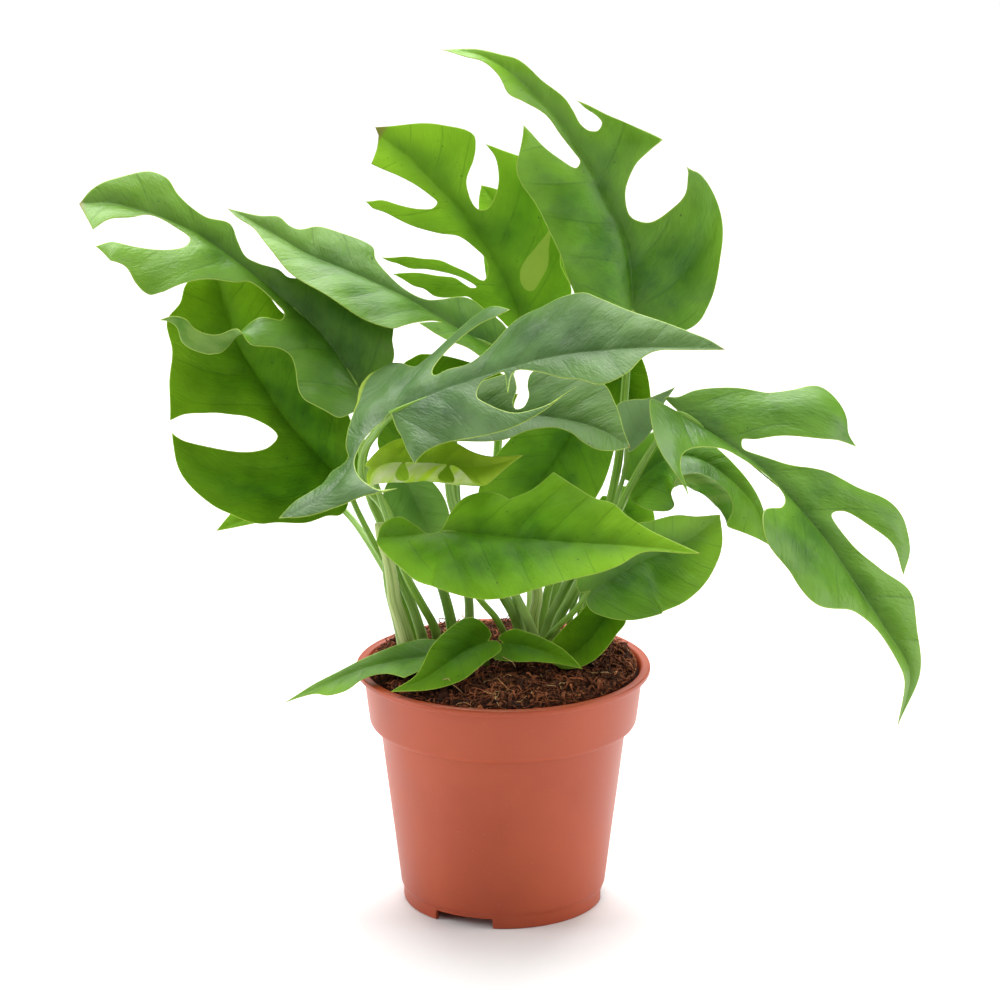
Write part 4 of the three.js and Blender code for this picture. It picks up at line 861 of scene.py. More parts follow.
def stem_finish(name, scale, stretch, dark, light, paler, rough, depth, glow, share):
    """A smooth green stem: fine streaks along it in two greens, and paler at its foot."""
    finish = Finish(name)
    flat = finish.node("ShaderNodeUVMap", {"uv_map": "flat"}, {})
    streaks = finish.noise(flat, scale, 3, stretch).ramp(0.3, 0.7)
    colour = finish.mix(streaks, rgb(dark), rgb(light))
    foot = finish.number("share").ramp(0.34, 0.05)
    colour = finish.mix(foot * paler, colour, rgb(FOOT_GREEN))
    return finish.finished_thin({
        "Base Color": colour, "Roughness": rough, "Normal": finish.bump(streaks, depth)},
        glow, share)


stalk_green = stem_finish("green_stalk", 4, (4, 0.6, 1), "5e921c", "98bc4c", 0.75, 0.38, 0.00008,
                          "9cc040", 0.12)
# The finishes for grown leaves are copies of one leaf colour in lighter, darker and greyer tones,
# picked for each leaf. Some of this paints the light a leaf gets: the grey finish is greyed as painted
# sheen on a leaf that faces the sky, and the dark and shaded finishes are darkened as painted shade on
# leaves that hang low, sit behind others or face away from the lights.
PALE = leaf_finish("leaf_pale", "28580a", "4e801c", "6c9a24", "7ca044", 0.34, 0.42, "8cc41c", 0.1)
GREY_PAINTED_SHEEN = leaf_finish("leaf_grey_painted_sheen", "24461a", "436835", "5f863c", "7c9c5c", 0.36, 0.4, "7cb024", 0.08)
GLOSSY = leaf_finish("leaf_glossy", "285c06", "528c14", "80b424", "86a848", 0.34, 0.36, "84c408", 0.12)
DEEP = leaf_finish("leaf_deep", "386c04", "5e9c0c", "92c828", "709c34", 0.38, 0.16, "84c408", 0.17)
DARK_PAINTED_SHADE = leaf_finish("leaf_dark_painted_shade", "214a00", "407604", "6c9a14", "64902c", 0.38, 0.05, "6cac04", 0.12)
SHADED = leaf_finish("leaf_shaded", "2c5414", "527c2c", "5f8a30", "7f9f5c", 0.4, 0.5, "5f9020", 0.1)
LIGHT = leaf_finish("leaf_light", "4c8420", "78ac44", "90c04c", "8cb058", 0.38, 0.5, "9cd040", 0.2)
NEW = leaf_finish("leaf_new", "90bc0c", "b8dc28", "c8e43c", "dce2ac", 0.42, 0.3, "b8e010", 0.3)
YOUNG = leaf_finish("leaf_young", "5f8a4a", "86ac6c", "94b878", "a9bf80", 0.4, 0.6, "9cc838", 0.25)
SLOTS = {PALE: "leaf_pale", GREY_PAINTED_SHEEN: "leaf_pale", SHADED: "leaf_pale", DEEP: "leaf_deep",
         GLOSSY: "leaf_deep", DARK_PAINTED_SHADE: "leaf_deep", LIGHT: "leaf_deep", NEW: "leaf_new",
         YOUNG: "leaf_new"}


def grow(node, finish, rib, facing, fold, bend, right, left, foot, stalk, radius,
         back=(), wave=(0, 40, 0), curls=(), twists=()):
    """Makes one leaf with its stalk, in the place of its node. rib is the midrib in space,
    from the stalk to the tip, and back is where its line goes on behind the stalk. fold, at
    stalk and tip, and bend are for the right half and then the left, or once for both. right
    and left are the edge from stalk to tip: distance along the midrib, distance out from it,
    and CORNER at the point of a lobe."""
    sheet = Sheet(rib, facing, fold, bend, back, wave, curls, twists)
    loop = leaf_edge(right, left, sheet.length)
    seed = int(abs(rib[0][0]) + abs(rib[0][2]))
    points, faces, numbers, flat = blade_mesh(sheet, loop, seed)
    stem_points, stem_faces, stem_flat, share = stalk_mesh(sheet, foot, stalk, radius)
    kinds = np.repeat([0, 1], [len(faces), len(stem_faces)])
    numbers = {key: np.append(values, 0 * share) for key, values in numbers.items()}
    numbers["share"] = np.append(np.zeros(len(points)), share)
    faces = faces + [[i + len(points) for i in face] for face in stem_faces]
    piece = make_mesh(node.replace("leaf_", "blade_"), np.vstack([points, stem_points]), faces,
                      [finish, stalk_green], numbers, np.vstack([flat, stem_flat]))
    piece.data.polygons.foreach_set("material_index", kinds)
    fit(piece, SLOTS[finish], node)


grow("leaf_front_top", GREY_PAINTED_SHEEN,
     rib=[[-44, -46, 219], [-21, -48, 230], [-5, -52, 236], [18, -60, 245], [54, -70, 251],
      [85, -72, 251]],
     back=[[-48, -46.5, 216.5], [-54, -56, 210.5], [-65, -76, 197], [-80, -84, 189]],
     facing=[[-0.7, -0.6, 0.35], [-0.5, -0.45, 0.7], [0, -0.37, 0.93], [0, -0.5, 0.85],
      [0, -0.6, 0.8], [0, -0.6, 0.8], [0, -0.5, 0.85]],
     fold=[-4, 18], bend=[-0.011, -0.008], wave=(1, 44, 1), foot=[-40.5, 4.5], radius=[2.4, 1.5],
     right=[[0, 10], [1, 16], [1.5, 23], [3, 31, CORNER], [6.5, 29], [11, 27], [16.5, 26], [22, 26],
      [27.5, 27], [51, 31], [67, 26], [83, 18, CORNER], [74, 22], [65, 24], [55, 24], [42, 15],
      [38, 10], [40, 3], [46, 1.5], [49, 1.5], [52, 14, CORNER], [54, 3], [63, 6], [75, 12],
      [84, 15], [93, 19], [102, 14], [107, 6], [112, 2], [124, 1]],
     left=[[-5, 2], [-10.5, 1], [-16, 0], [-22, 0], [-28, 0.5], [-32.5, 2.5], [-36.5, 6], [-39, 10],
      [-40.5, 15], [-41, 19.5], [-39.5, 27, CORNER], [-42, 20.5], [-44.5, 14], [-51, 8], [-63, 3],
      [-69, -3, CORNER], [-61, -6], [-52.5, -7], [-33, -9.5], [-31, -5.5], [-28.5, -3.5],
      [-26.5, -3.5], [-23, -6], [-18, -9], [-13, -10.5], [-7, -12.5], [-5, -15.5], [-4, -21],
      [-3.5, -26], [-3, -31], [-2, -36.5], [1, -40], [3, -42.5], [6, -38], [9, -30.5], [12, -26],
      [14.5, -27], [25, -33.5], [36, -42], [42, -40], [48, -35, CORNER], [43, -33], [36, -32],
      [29, -28], [23, -22], [19, -14.5], [20, -10], [25, -10], [33, -9], [42, -15], [53, -27],
      [64, -28], [74, -29], [81, -28], [86, -25], [101, -17], [122, -8], [132, -4]],
     stalk=[[-43, 4.5, 117], [-46, 4, 130], [-47, 2, 143.5], [-46, -0.5, 153], [-46, -9.5, 165],
      [-49, -10, 171.5], [-53, -10, 176], [-56, -10, 181], [-56.5, -12, 187.5], [-55, -16, 195.5],
      [-51, -27, 204.5]])

grow("leaf_left_long", PALE,
     rib=[[-2, 14, 228], [-20, 14, 238.5], [-34, 15, 247], [-62, 18, 260], [-78, 21, 266],
      [-94, 24, 275], [-111, 26, 284]],
     facing=[[0.1, -0.5, 0.85], [0.1, -0.45, 0.9], [0.1, -0.45, 0.9], [0.1, -0.5, 0.85]],
     fold=[22, 20], bend=[-0.016], wave=(1, 36, 0), foot=[-14, 16], radius=[2, 1.3],
     right=[[-5, 4], [1, 11], [7, 13], [13, 14], [17, 15], [21, 15], [25, 13], [28, 10], [31, 7],
      [35, 4], [39, 3], [43, 3], [48, 4], [57, 8], [61, 11], [64, 16], [77, 16], [89, 14], [95, 8],
      [99, 7], [104, 8], [111, 4]],
     left=[[-3, -7], [3, -12], [13, -11], [21, -13], [34, -14, CORNER], [29, -7], [26, -3], [29, -6],
      [35, -15], [39, -21], [42, -25], [48, -26], [66, -25], [83, -20], [88, -18], [97, -13],
      [104, -9], [111, -4], [118, -3]],
     stalk=[[-14, 17, 120], [-16, 19, 138], [-20, 22, 167], [-20, 24, 188], [-10, 22, 209]])

grow("leaf_left_curled", PALE,
     rib=[[-58, 4, 215], [-62, 5.5, 221.9], [-69, 8, 231.8], [-77, 10.5, 240.6], [-97, 12, 257.5],
      [-119, 9, 275.5], [-131, 7, 282.5], [-143, 5, 287.5], [-156, 3, 291.5], [-168, 1, 291.5]],
     facing=[[0.2, -0.75, 0.6], [0.1, -0.7, 0.7], [0.1, -0.65, 0.75], [0.1, -0.6, 0.8],
      [0.1, -0.6, 0.8]],
     fold=[30, 22, 22, 18], bend=[-0.012, -0.014], wave=(1.4, 44, 0.4),
     twists=[[46, -24, -26, -150, 18, 11.5]], foot=[-32, 3], radius=[2.1, 1.5],
     right=[[-3, 3], [-1, 9], [2, 16], [5, 19], [9, 21], [14, 25], [30, 27], [42, 16], [51, 8],
      [56, 8], [64, 5], [70, 4], [76, 7], [82, 11], [91, 8], [98, 9], [104, 12], [109, 17],
      [116, 18], [127, 11], [136, 5]],
     left=[[-4, -1], [-7, -6], [-7, -10], [-6, -16], [-1, -20], [7, -25], [12, -25], [17, -23],
      [26, -19], [35, -21], [42, -26], [51, -32], [63, -30.5], [74, -35], [82, -41],
      [96, -48, CORNER], [84.5, -36.5], [77.5, -28], [66.5, -23], [57, -22], [50, -15], [43, -10],
      [44, -6], [48, -5], [58, -4], [63, -5], [68, -10], [80, -19], [89, -28], [98, -36, CORNER],
      [104, -39], [113, -37], [118, -33], [130, -34], [137, -26, CORNER], [131, -25], [116, -22],
      [102, -17], [95, -11], [94, -5], [100, -3], [112, -1], [120, -7], [130, -12],
      [137, -17, CORNER], [139, -8]],
     stalk=[[-35, 3, 117.5], [-38, 3.5, 126], [-41.5, 4, 134.5], [-44, 5, 142.5], [-49.5, 9, 157],
      [-54, 11, 167.5], [-58, 9, 196.5], [-58, 7, 207.5]])

grow("leaf_left_hanging", DARK_PAINTED_SHADE,
     rib=[[-64, 22, 168], [-70, 22, 176], [-79, 22, 186], [-89, 22, 198], [-98, 22, 213],
      [-106, 22, 226], [-111, 23, 239], [-115, 26, 253], [-117, 30, 261]],
     facing=[[-0.1, -0.9, 0.3], [0, -1, 0.1], [0, -1, 0.1], [0, -0.9, 0.3]],
     fold=[36, 30, 12, 12], bend=[-0.024, -0.008], wave=(1.2, 50, 0), foot=[-35.5, 9],
     radius=[1.5, 1.1],
     right=[[-4, 3], [-2, 12], [9, 16], [14, 19], [24, 23], [41, 28], [61, 29], [76, 26], [84, 22],
      [93, 19], [103, 11]],
     left=[[-6, -4], [-7, -9], [-4, -13], [-1, -21], [5, -29], [18, -40], [27, -45], [33, -47],
      [42, -48], [53, -44], [60, -42, CORNER], [56, -41], [52, -39], [43, -29], [36, -18], [34, -12],
      [35, -7], [39, -7], [47, -12], [52, -18], [58, -25], [63, -33], [64, -40, CORNER], [73, -32],
      [81, -26], [92, -24], [97, -17], [103, -13]],
     stalk=[[-38, 9, 115.5], [-41, 9.5, 124], [-44.5, 10.5, 132.5], [-52.5, 17, 145.5],
      [-60, 23, 159]])

grow("leaf_top_centre", DEEP,
     rib=[[7, 38, 236], [4, 38, 244], [-2, 38, 257], [-9, 37, 269], [-18, 36, 282], [-28, 34, 293],
      [-38, 32, 304], [-50, 30, 313]],
     facing=[[0, -0.95, 0.3], [0, -0.95, 0.3], [0, -0.95, 0.3], [0.1, -0.9, 0.4]],
     fold=[26, 18, 16, 14], bend=[-0.014, -0.01], wave=(1, 40, 1), foot=[14, 3.5], radius=[2, 1.5],
     right=[[-4, 8], [-1, 18], [4, 24], [14, 24], [20, 27], [27, 27, CORNER], [21, 22], [16, 19],
      [12, 14], [9, 9], [10, 7], [13, 6], [19, 9], [23, 17], [26, 25], [31, 33], [39, 38], [48, 38],
      [54, 32], [58, 29], [64, 26, CORNER], [58, 25], [53, 21], [49, 16], [46, 9], [48, 6], [52, 6],
      [59, 10], [63, 18], [66, 22], [71, 25], [75, 24], [82, 18], [92, 9], [101, 2, CORNER]],
     left=[[-3, -5], [4, -9], [10, -13], [14, -15], [18, -17], [21, -22], [24, -26], [28, -29],
      [34, -31], [38, -34], [43, -36], [48, -38, CORNER], [45, -34], [41, -29], [35, -23], [30, -18],
      [25, -16], [21, -14], [20, -12], [25, -14], [31, -17.5], [36, -21.5], [41, -26.5], [45, -31],
      [54, -34.5], [63, -37, CORNER], [56, -32], [46, -25], [40, -19], [35, -16], [28, -12],
      [22, -9], [21, -8], [22, -6], [25, -4], [29, -3], [34, -4], [43, -7], [50, -13], [60, -18],
      [73, -23], [81, -26], [89, -26, CORNER], [80, -21], [72, -17], [65, -12], [61, -8], [61, -5],
      [65, -5], [71, -6], [81, -9], [89, -11], [95, -12, CORNER], [96, -5]],
     stalk=[[10, 4.5, 117], [6, 9, 124], [4, 13, 127.5], [-2, 38, 149.5], [-2, 51, 180.5],
      [2.5, 49, 206.5]])

grow("leaf_top_right", GLOSSY,
     rib=[[52, 14, 245], [51, 12, 263], [48, 10, 276], [42, 8, 289], [36, 6, 302], [28, 4, 315],
      [21, 2, 326], [13, 0, 335], [3, -4, 345], [-10, -8, 353], [-24, -8, 355]],
     facing=[[0, -0.95, 0.3], [0, -1, 0.1], [0, -1, 0.15], [0, -0.9, 0.4], [0.2, -0.4, 0.9]],
     fold=[16, 14, 38, 26], bend=[-0.01, -0.022], wave=(1.2, 46, 0.5), foot=[16.5, 9],
     radius=[2.1, 1.5],
     right=[[-6, 6], [-9, 13], [-9, 21], [-5, 27], [6, 32], [15, 35], [28, 40], [40, 39],
      [50, 35, CORNER], [45, 34], [38, 30], [35, 21], [34, 12], [36, 8], [39, 6], [48, 8], [53, 11],
      [58, 17], [60, 24], [61, 31, CORNER], [68, 25], [79, 18], [86, 13.5], [90, 10.5, CORNER],
      [86, 11.5], [82, 13.5], [78, 14], [76, 11], [78, 8], [82, 6.5], [88, 7], [93, 7.5], [105, 6],
      [117, 6], [124, 4]],
     left=[[-6, -7], [-4, -14], [2, -21], [10, -25], [28, -28], [45, -27], [53, -27], [68, -27],
      [78, -27], [89, -23], [99, -13, CORNER], [96, -13], [85, -12], [76, -9], [68, -5], [69, -2],
      [73, -2], [84, -3], [94, -3], [105, -6], [115, -9], [122, -6], [130, -4], [137, -5]],
     stalk=[[19, 9, 115.5], [23, 9, 124.5], [27, 8, 133], [39, 8, 152.5], [46, 10, 179],
      [48.5, 13, 203.5], [50, 15, 224]])

grow("leaf_right_drooping", PALE,
     rib=[[70, -14, 210], [78, -16, 205], [90, -19, 198], [102, -22, 190], [111, -25, 181],
      [128, -30, 162], [138, -33, 148], [152, -36, 127], [162, -38, 109], [158, -38, 86]],
     facing=[[0.2, -0.55, 0.8], [0.35, -0.55, 0.75], [0.45, -0.6, 0.65], [0.6, -0.65, 0.45],
      [0.75, -0.6, 0.25]],
     fold=[26, 20], bend=[-0.012], wave=(1.2, 44, 0), foot=[19.5, 1.5], radius=[2.1, 1.4],
     right=[[-8, 2], [-12, 4], [-10, 12], [0, 28], [12, 39], [22, 43, CORNER], [14, 36], [11, 28],
      [12, 21], [16, 14], [24, 6], [35, 4], [49, 1], [54, 3], [56, 10], [52, 23], [60, 33], [76, 31],
      [93, 32], [106, 14], [121, 6], [137, 7], [156, 3]],
     left=[[-8, -2], [-4, -5], [0, -11], [6, -17], [16, -25], [26, -32], [32, -39], [38, -49],
      [48, -45], [54, -42], [60, -43, CORNER], [47, -28], [39, -18], [31, -8], [27, -5], [29, -2],
      [34, -3], [44, -8], [59, -21], [72, -28], [82, -34], [94, -34], [103, -31], [109, -21, CORNER],
      [98, -24], [84, -19], [74, -14], [72, -9], [85, -8], [101, -13], [115, -19], [124, -15],
      [132, -10], [149, -3]],
     stalk=[[22.5, 1, 118.5], [27, -0.5, 127.5], [31.5, -2, 136.5], [41, -2, 153], [50.5, -2, 174.5],
      [60.5, -5, 193.5], [65.5, -9, 201.5]])

grow("leaf_right_curled", GLOSSY,
     rib=[[53, 6, 175], [66, 4, 186], [76, 2, 187], [89, -2, 181], [100, -6, 170], [108, -10, 153]],
     facing=[[0, -0.6, 0.8], [0.2, -0.6, 0.75], [0.4, -0.6, 0.6], [0.6, -0.6, 0.4]],
     fold=[18, 14], bend=[-0.01, -0.009], wave=(0.8, 36, 0), curls=[[42, 17, 90, 0.26, 24]],
     foot=[31, 3.5], radius=[1.4, 1.1],
     right=[[-4, 5], [-2, 12], [3, 20], [8, 24], [14, 24], [19, 20.5], [23, 19.5], [30, 26],
      [40, 31], [52, 29], [64, 18], [74, 5]],
     left=[[-3, -5], [2, -10], [12, -13], [24, -11], [34, -8], [44, -6], [55, -4.5], [66, -2.5]],
     stalk=[[35, 5, 128], [41, 7, 149], [48, 7, 168]])

grow("leaf_right_heart", GLOSSY,
     rib=[[35, -16, 136], [45, -19, 143], [56, -22, 151], [64, -25, 155], [78, -30, 165],
      [86, -32, 173]],
     facing=[[0, -0.9, 0.35], [0, -0.9, 0.35], [0.1, -0.9, 0.4]],
     fold=[20, 14], bend=[-0.012, -0.014], foot=[16.5, -5], radius=[1.4, 1.1],
     right=[[-3, 2], [-3, 7], [1, 12], [11, 19], [24, 23], [41, 21], [50, 17], [59, 9]],
     left=[[-4, -2], [-2, -7], [6, -12], [15, -15], [25, -15], [36, -14], [50, -11], [59, -5]],
     stalk=[[18, -5.5, 112.5], [21, -6.5, 116.5], [25, -9, 121.5], [29, -12, 126.5], [33, -15, 133]])

grow("leaf_front_heart", DEEP,
     rib=[[-25, -46, 170], [-19, -48, 171], [2, -56, 171], [25, -66, 172], [52, -78, 174],
      [76, -88, 174]],
     facing=[[0, -0.65, 0.75], [0, -0.7, 0.7], [0, -0.75, 0.65], [0, -0.7, 0.7]],
     fold=[26, 18, 14, 12], bend=[-0.014, -0.01], wave=(1, 48, 0.6), foot=[2, 7], radius=[1.4, 1.1],
     right=[[-4, 1], [-11, -4], [-18, -8], [-25, -5], [-26, 3], [-20, 12], [-11, 21], [-2, 29],
      [10, 33], [25, 33], [42, 29], [60, 20], [79, 11], [87, 3], [103, 1]],
     left=[[2, -3], [4, -8], [8, -15], [14, -18], [20, -18], [25, -16, CORNER], [34, -21],
      [41, -29, CORNER], [51, -24], [62, -19], [70, -17], [77, -12], [87, -7], [103, -2]],
     stalk=[[0, 3, 112.5], [-2.5, -4, 120], [-9, -19, 133], [-15.5, -32, 146], [-21, -41, 157]])

grow("leaf_back_centre", DEEP,
     rib=[[34, 24, 201], [23, 25, 183], [10, 26, 162], [-2, 24, 139]],
     facing=[[0, -0.95, 0.25], [0, -1, 0.1], [0, -0.95, 0.25]],
     fold=[30, 22, 14, 12], bend=[-0.018, -0.01], foot=[15.5, 19.5], radius=[2.1, 1.3],
     right=[[-6, 3], [-7, 10], [-1, 17], [9, 20], [26, 21], [36, 22], [49, 21], [58, 17], [66, 10]],
     left=[[-5, -4], [-6, -10], [-1, -15], [9, -19], [27, -23], [47, -21], [62, -12]],
     stalk=[[16, 19.5, 111.5], [17, 20, 116.5], [18.5, 21, 124.5], [23.5, 25, 136.5],
      [28.5, 31, 160.5], [31, 32, 181.5]])

grow("leaf_centre_shaded", SHADED,
     rib=[[-20, -14, 213], [-2, -20, 212], [22, -30, 212], [38, -36, 209], [50, -40, 203]],
     facing=[[0, -0.45, 0.9], [0, -0.6, 0.8], [0.1, -0.65, 0.75], [0.2, -0.6, 0.75]],
     fold=[18, 14], bend=[-0.012], foot=[8, 8.5], radius=[2.4, 1.4],
     right=[[-4, 5], [-5, 15], [-2, 23], [3, 27], [8, 24], [22, 19], [29, 16], [36, 10], [46, 6],
      [53, 7], [59, 10], [66, 11], [72, 7]],
     left=[[-3, -4], [4, -10], [12, -15], [20, -19, CORNER], [24, -11], [24, -5], [26, -2], [29, -3],
      [30, -8], [28, -13], [28, -19], [33, -22], [43, -23], [56, -20], [63, -13], [70, -5]],
     stalk=[[5, 8, 117], [0, 6.5, 127], [-10.5, 4, 145], [-21, 0, 169.5], [-21, -4, 196]])

grow("leaf_back_right", DARK_PAINTED_SHADE,
     rib=[[39, 32, 230], [45, 33, 217], [51, 32, 205], [59, 28, 191]],
     facing=[[0, -0.95, 0.3], [0, -1, 0.1]],
     fold=[18, 16], bend=[-0.014], foot=[18.5, 14.5], radius=[1.7, 1.2],
     right=[[-4, 3], [-2, 9], [5, 14], [16, 15], [29, 12], [39, 5]],
     left=[[-4, -4], [2, -10], [9, -12], [16, -12], [24, -11], [33, -8], [40, -4]],
     stalk=[[21, 16.5, 122], [23, 18, 130], [29, 21, 142], [39, 30, 173.5], [42.5, 38, 201]])

grow("leaf_right_young", YOUNG,
     rib=[[50, -2, 193], [56, -1, 201], [62, -2, 210], [69, -4, 218]],
     facing=[[0, -0.9, 0.4]],
     fold=[8, 8], bend=[-0.006], foot=[25.5, 3.5], radius=[1.2, 0.9],
     right=[[-2, 2], [4, 4], [13, 4], [21, 2]],
     left=[[-2, -3], [1, -8], [6, -12], [12, -13], [16, -10], [20, -5], [26, -2]],
     stalk=[[29, 4, 125], [36, 4, 142], [43, 4, 160], [49, 2, 181]])

grow("leaf_new_rolled", NEW,
     rib=[[-53, -24, 190], [-45, -26, 192], [-30, -29, 193], [-12, -33, 193], [-2, -35, 195],
      [8, -37, 199]],
     facing=[[0, -0.7, 0.7], [0, -0.7, 0.7], [0, -0.8, 0.6]],
     fold=[14, 14], bend=[-0.005, -0.012], curls=[[28, 8, 90, 0.26, 60]], foot=[-26.5, 4],
     radius=[2, 1.1],
     right=[[-1, 4], [1, 11], [5, 18], [10, 22], [15.4, 24], [15.8, 21.5], [15, 19.5], [13.8, 17],
      [14.2, 14.5], [16.4, 13.5], [18.6, 14.5], [19, 17], [17.8, 19.5], [17, 21.5], [17.3, 24],
      [25, 25], [33, 23.5], [33.4, 21], [32.5, 19], [31.2, 16.5], [31.8, 14.3], [34.4, 13.5],
      [37, 14.3], [37.4, 16.5], [36, 19], [34.8, 21], [35.2, 22.5], [42, 18], [50, 8], [57, 2.5]],
     left=[[-2, -1], [2, -5], [8, -9], [14, -11], [24, -11], [33, -10], [40, -7], [48, -4],
      [56, -2]],
     stalk=[[-28, 1, 115], [-33, -5, 127], [-40, -13, 144], [-45, -19, 163], [-50, -23, 181]])

grow("leaf_middle_small", LIGHT,
     rib=[[-40, 15, 173], [-34, 14, 161], [-26, 10, 143]],
     facing=[[0, -0.95, 0.3]],
     fold=[8, 8], bend=[-0.004], foot=[-20, 10], radius=[2.6, 1.3],
     right=[[-4, 3], [-2, 8], [3, 12], [13, 14], [24, 11], [31, 6]],
     left=[[-3, -4], [3, -9], [10, -11], [17, -11], [24, -9], [31, -5]],
     stalk=[[-21.5, 11, 115], [-23.5, 12, 123.5], [-26.5, 13, 133.5], [-32.5, 17, 156]])

grow("leaf_back_small", DEEP,
     rib=[[44, 26, 163], [52, 26, 155], [62, 24, 141]],
     facing=[[0, -0.95, 0.3]],
     fold=[8, 8], bend=[-0.004], foot=[31.5, 9.5], radius=[1.3, 1],
     right=[[-3, 2], [-1, 7], [7, 11], [18, 10], [25, 6]],
     left=[[-3, -3], [2, -8], [8, -10], [15, -9], [22, -5]],
     stalk=[[31.5, 11, 118], [34, 16, 133], [39, 22, 150]])

grow("leaf_low_right", DARK_PAINTED_SHADE,
     rib=[[44, -4, 128], [39, -9, 119], [31, -13.5, 110.5], [20, -15.5, 105]],
     facing=[[0.1, -0.85, 0.5], [0.1, -0.8, 0.5], [0.1, -0.7, 0.7], [0.1, -0.5, 0.85]],
     fold=[18, 14], bend=[-0.014], foot=[30, -2], radius=[1.3, 1],
     right=[[-3, 3], [-1, 6], [2, 8], [5, 9], [13, 10], [21, 11], [31, 10], [35, 7]],
     left=[[-3, -3], [1, -6], [6, -9], [11, -8], [15, -8], [23, -8], [30, -7], [34, -5]],
     stalk=[[31, -2, 113], [34, -1, 122], [39, -1, 128]])

grow("leaf_low_pointed", DARK_PAINTED_SHADE,
     rib=[[0, -7, 111], [10, -13, 112], [22, -21, 110], [32, -28, 107]],
     facing=[[0, -0.5, 0.85]],
     fold=[20, 14], bend=[-0.02], foot=[-2, -6], radius=[1.2, 1],
     right=[[-3, 3], [-1, 7], [2, 12], [7, 13], [15, 12], [22, 8], [30, 4]],
     left=[[-3, -2], [-1, -5], [3, -7], [9, -6], [18, -5], [26, -4], [33, -2]],
     stalk=[[-1.5, -6.5, 107]])

grow("leaf_low_front", DARK_PAINTED_SHADE,
     rib=[[-6, -16, 115], [-14, -23, 114], [-20, -29, 112], [-32, -38, 106], [-45, -42, 102]],
     facing=[[0, -0.6, 0.75], [0, -0.42, 0.9], [0, -0.35, 0.93]],
     fold=[16, 12], bend=[-0.016], foot=[-7, -12], radius=[1.2, 1],
     right=[[-3, 2], [-3, 7], [-1, 11], [3, 13], [11, 12], [22, 10], [29, 7], [38, 3]],
     left=[[-3, -2], [-1, -7], [6, -10], [16, -12], [25, -13], [31, -11], [40, -6]],
     stalk=[[-7, -14, 109]])

grow("leaf_low_left", GLOSSY,
     rib=[[-28, -11, 107], [-42, -16, 107], [-56, -21, 105], [-70, -27, 101], [-88, -32, 94]],
     facing=[[0, -0.3, 0.95]],
     fold=[18, 10], bend=[-0.004], foot=[-25, -8], radius=[1.2, 1],
     right=[[-4, 2], [-4, 7], [2, 9], [11, 8], [24, 5.5], [37, 3.5], [51, 2.5], [60, 1]],
     left=[[-4, -3], [-2, -8], [5, -12], [12, -16], [19, -19, CORNER], [21, -15], [24, -11],
      [29, -9], [35, -9], [43, -12], [49, -10], [53, -4], [60, -1]],
     stalk=[[-26, -9, 105]])

grow("leaf_back_left", DARK_PAINTED_SHADE,
     rib=[[-73, 68, 150], [-86, 72, 146], [-103, 74, 141], [-121, 74, 134]],
     facing=[[0, -0.5, 0.85], [-0.1, -0.5, 0.85], [-0.1, -0.5, 0.85]],
     fold=[8, 8], bend=[-0.004], foot=[-33, 13], radius=[1.5, 1.2],
     right=[[-5, 4], [-4, 12], [4, 18], [14, 18], [26, 15], [38, 9], [46, 4]],
     left=[[-5, -4], [-2, -8], [6, -10], [14, -9], [27, -6], [41, -3]],
     stalk=[[-38, 20, 112], [-49, 38, 128], [-64, 61, 144]])

grow("leaf_back_top", DEEP,
     rib=[[13, 62, 237], [6, 68, 257], [-2, 72, 273], [-9, 74, 283]],
     facing=[[0, -0.6, 0.8], [0, -0.7, 0.7], [0, -0.8, 0.6]],
     fold=[8, 8], bend=[-0.004], foot=[9.5, 21.5], radius=[1.3, 1.1],
     right=[[-6, 5], [-3, 13], [6, 18], [16, 18], [28, 14], [40, 8], [48, 4]],
     left=[[-6, -4], [-2, -12], [8, -17], [21, -16], [36, -11], [47, -6]],
     stalk=[[11, 28, 118], [11, 34, 125], [12.5, 58, 152.5], [14, 72, 191.5]])

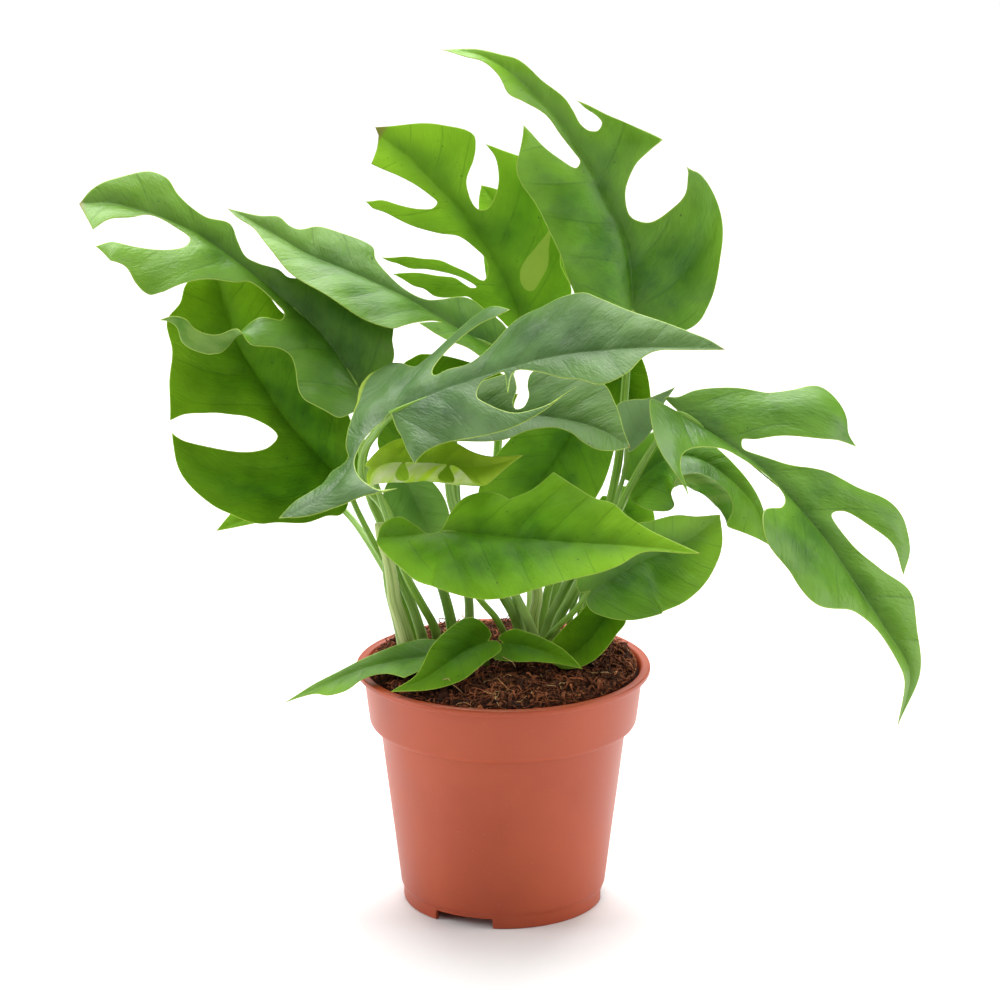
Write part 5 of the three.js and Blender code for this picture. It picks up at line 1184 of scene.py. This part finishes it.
grow("leaf_middle_back", DARK_PAINTED_SHADE,
     rib=[[-31, 13, 207], [-24, 12, 209], [-14, 10, 211], [-4, 8, 212.5], [6, 5, 212.5]],
     facing=[[-0.1, -0.8, 0.6], [0, -0.8, 0.6], [0, -0.8, 0.6]],
     fold=[14, 10], bend=[-0.008], foot=[-14, 21.5], radius=[1.3, 1],
     right=[[-2, 4], [-7, 6], [-13, 1], [-17, 3], [-21, 9], [-22, 15], [-20, 20], [-14, 20],
      [-8, 16], [0, 14], [9, 16], [20, 15], [32, 13], [38, 8], [38, 4]],
     left=[[-2, -4], [-6, -8], [-8, -14], [-6, -18], [-3, -19], [1, -20], [5, -19], [10, -17],
      [17, -14], [24, -11], [30, -8], [34, -6, CORNER], [31, -2], [26, 0], [31, 0], [35, 0]],
     stalk=[[-14, 22.5, 111.5], [-15.5, 25, 128], [-17.5, 27, 144.5], [-18.5, 30, 160.5],
      [-20, 32, 179.5], [-23.5, 26, 193.5], [-27.5, 19, 202]])

# ---- Shoots ----
# Two short pale shoots, each a soft sheath that a new leaf will come out of. The stalks
# stand close around them.

SHOOT_SIDES = 20

pale_sheath = stem_finish("pale_sheath", 9, (3, 0.3, 1), "8fae48", "d6e298", 0, 0.4, 0.0001,
                          "c0cc70", 0.2)


def shoot(node, foot, route, radius):
    """A tapering shoot, its rings flattened from front to back."""
    line = out_of_soil(foot, route)
    run = run_along(line)
    width = radius[0] + (radius[1] - radius[0]) * (run / run[-1]) ** 1.3
    points, faces, flat = stem_tube(line, width, (0, -1, 0.1), SHOOT_SIDES, 1.15, 0.85)
    name = node.replace("stem_", "shoot_")
    fit(make_mesh(name, points, faces, [pale_sheath], {}, flat), "stem_sheath", node)


shoot("stem_left", (-38, -2.5), [
    (-41.5, -3, 119.5), (-44, -3.5, 128), (-45, -4.5, 137), (-46.5, -5.5, 146.5),
    (-49, -6, 154.5), (-50, -6, 161.5)], (3, 1.7))
shoot("stem_right", (12, 14), [
    (12.5, 14, 115.5), (14, 15, 122.5), (14, 16, 127), (14.5, 18, 136.5)], (2.4, 1.7))
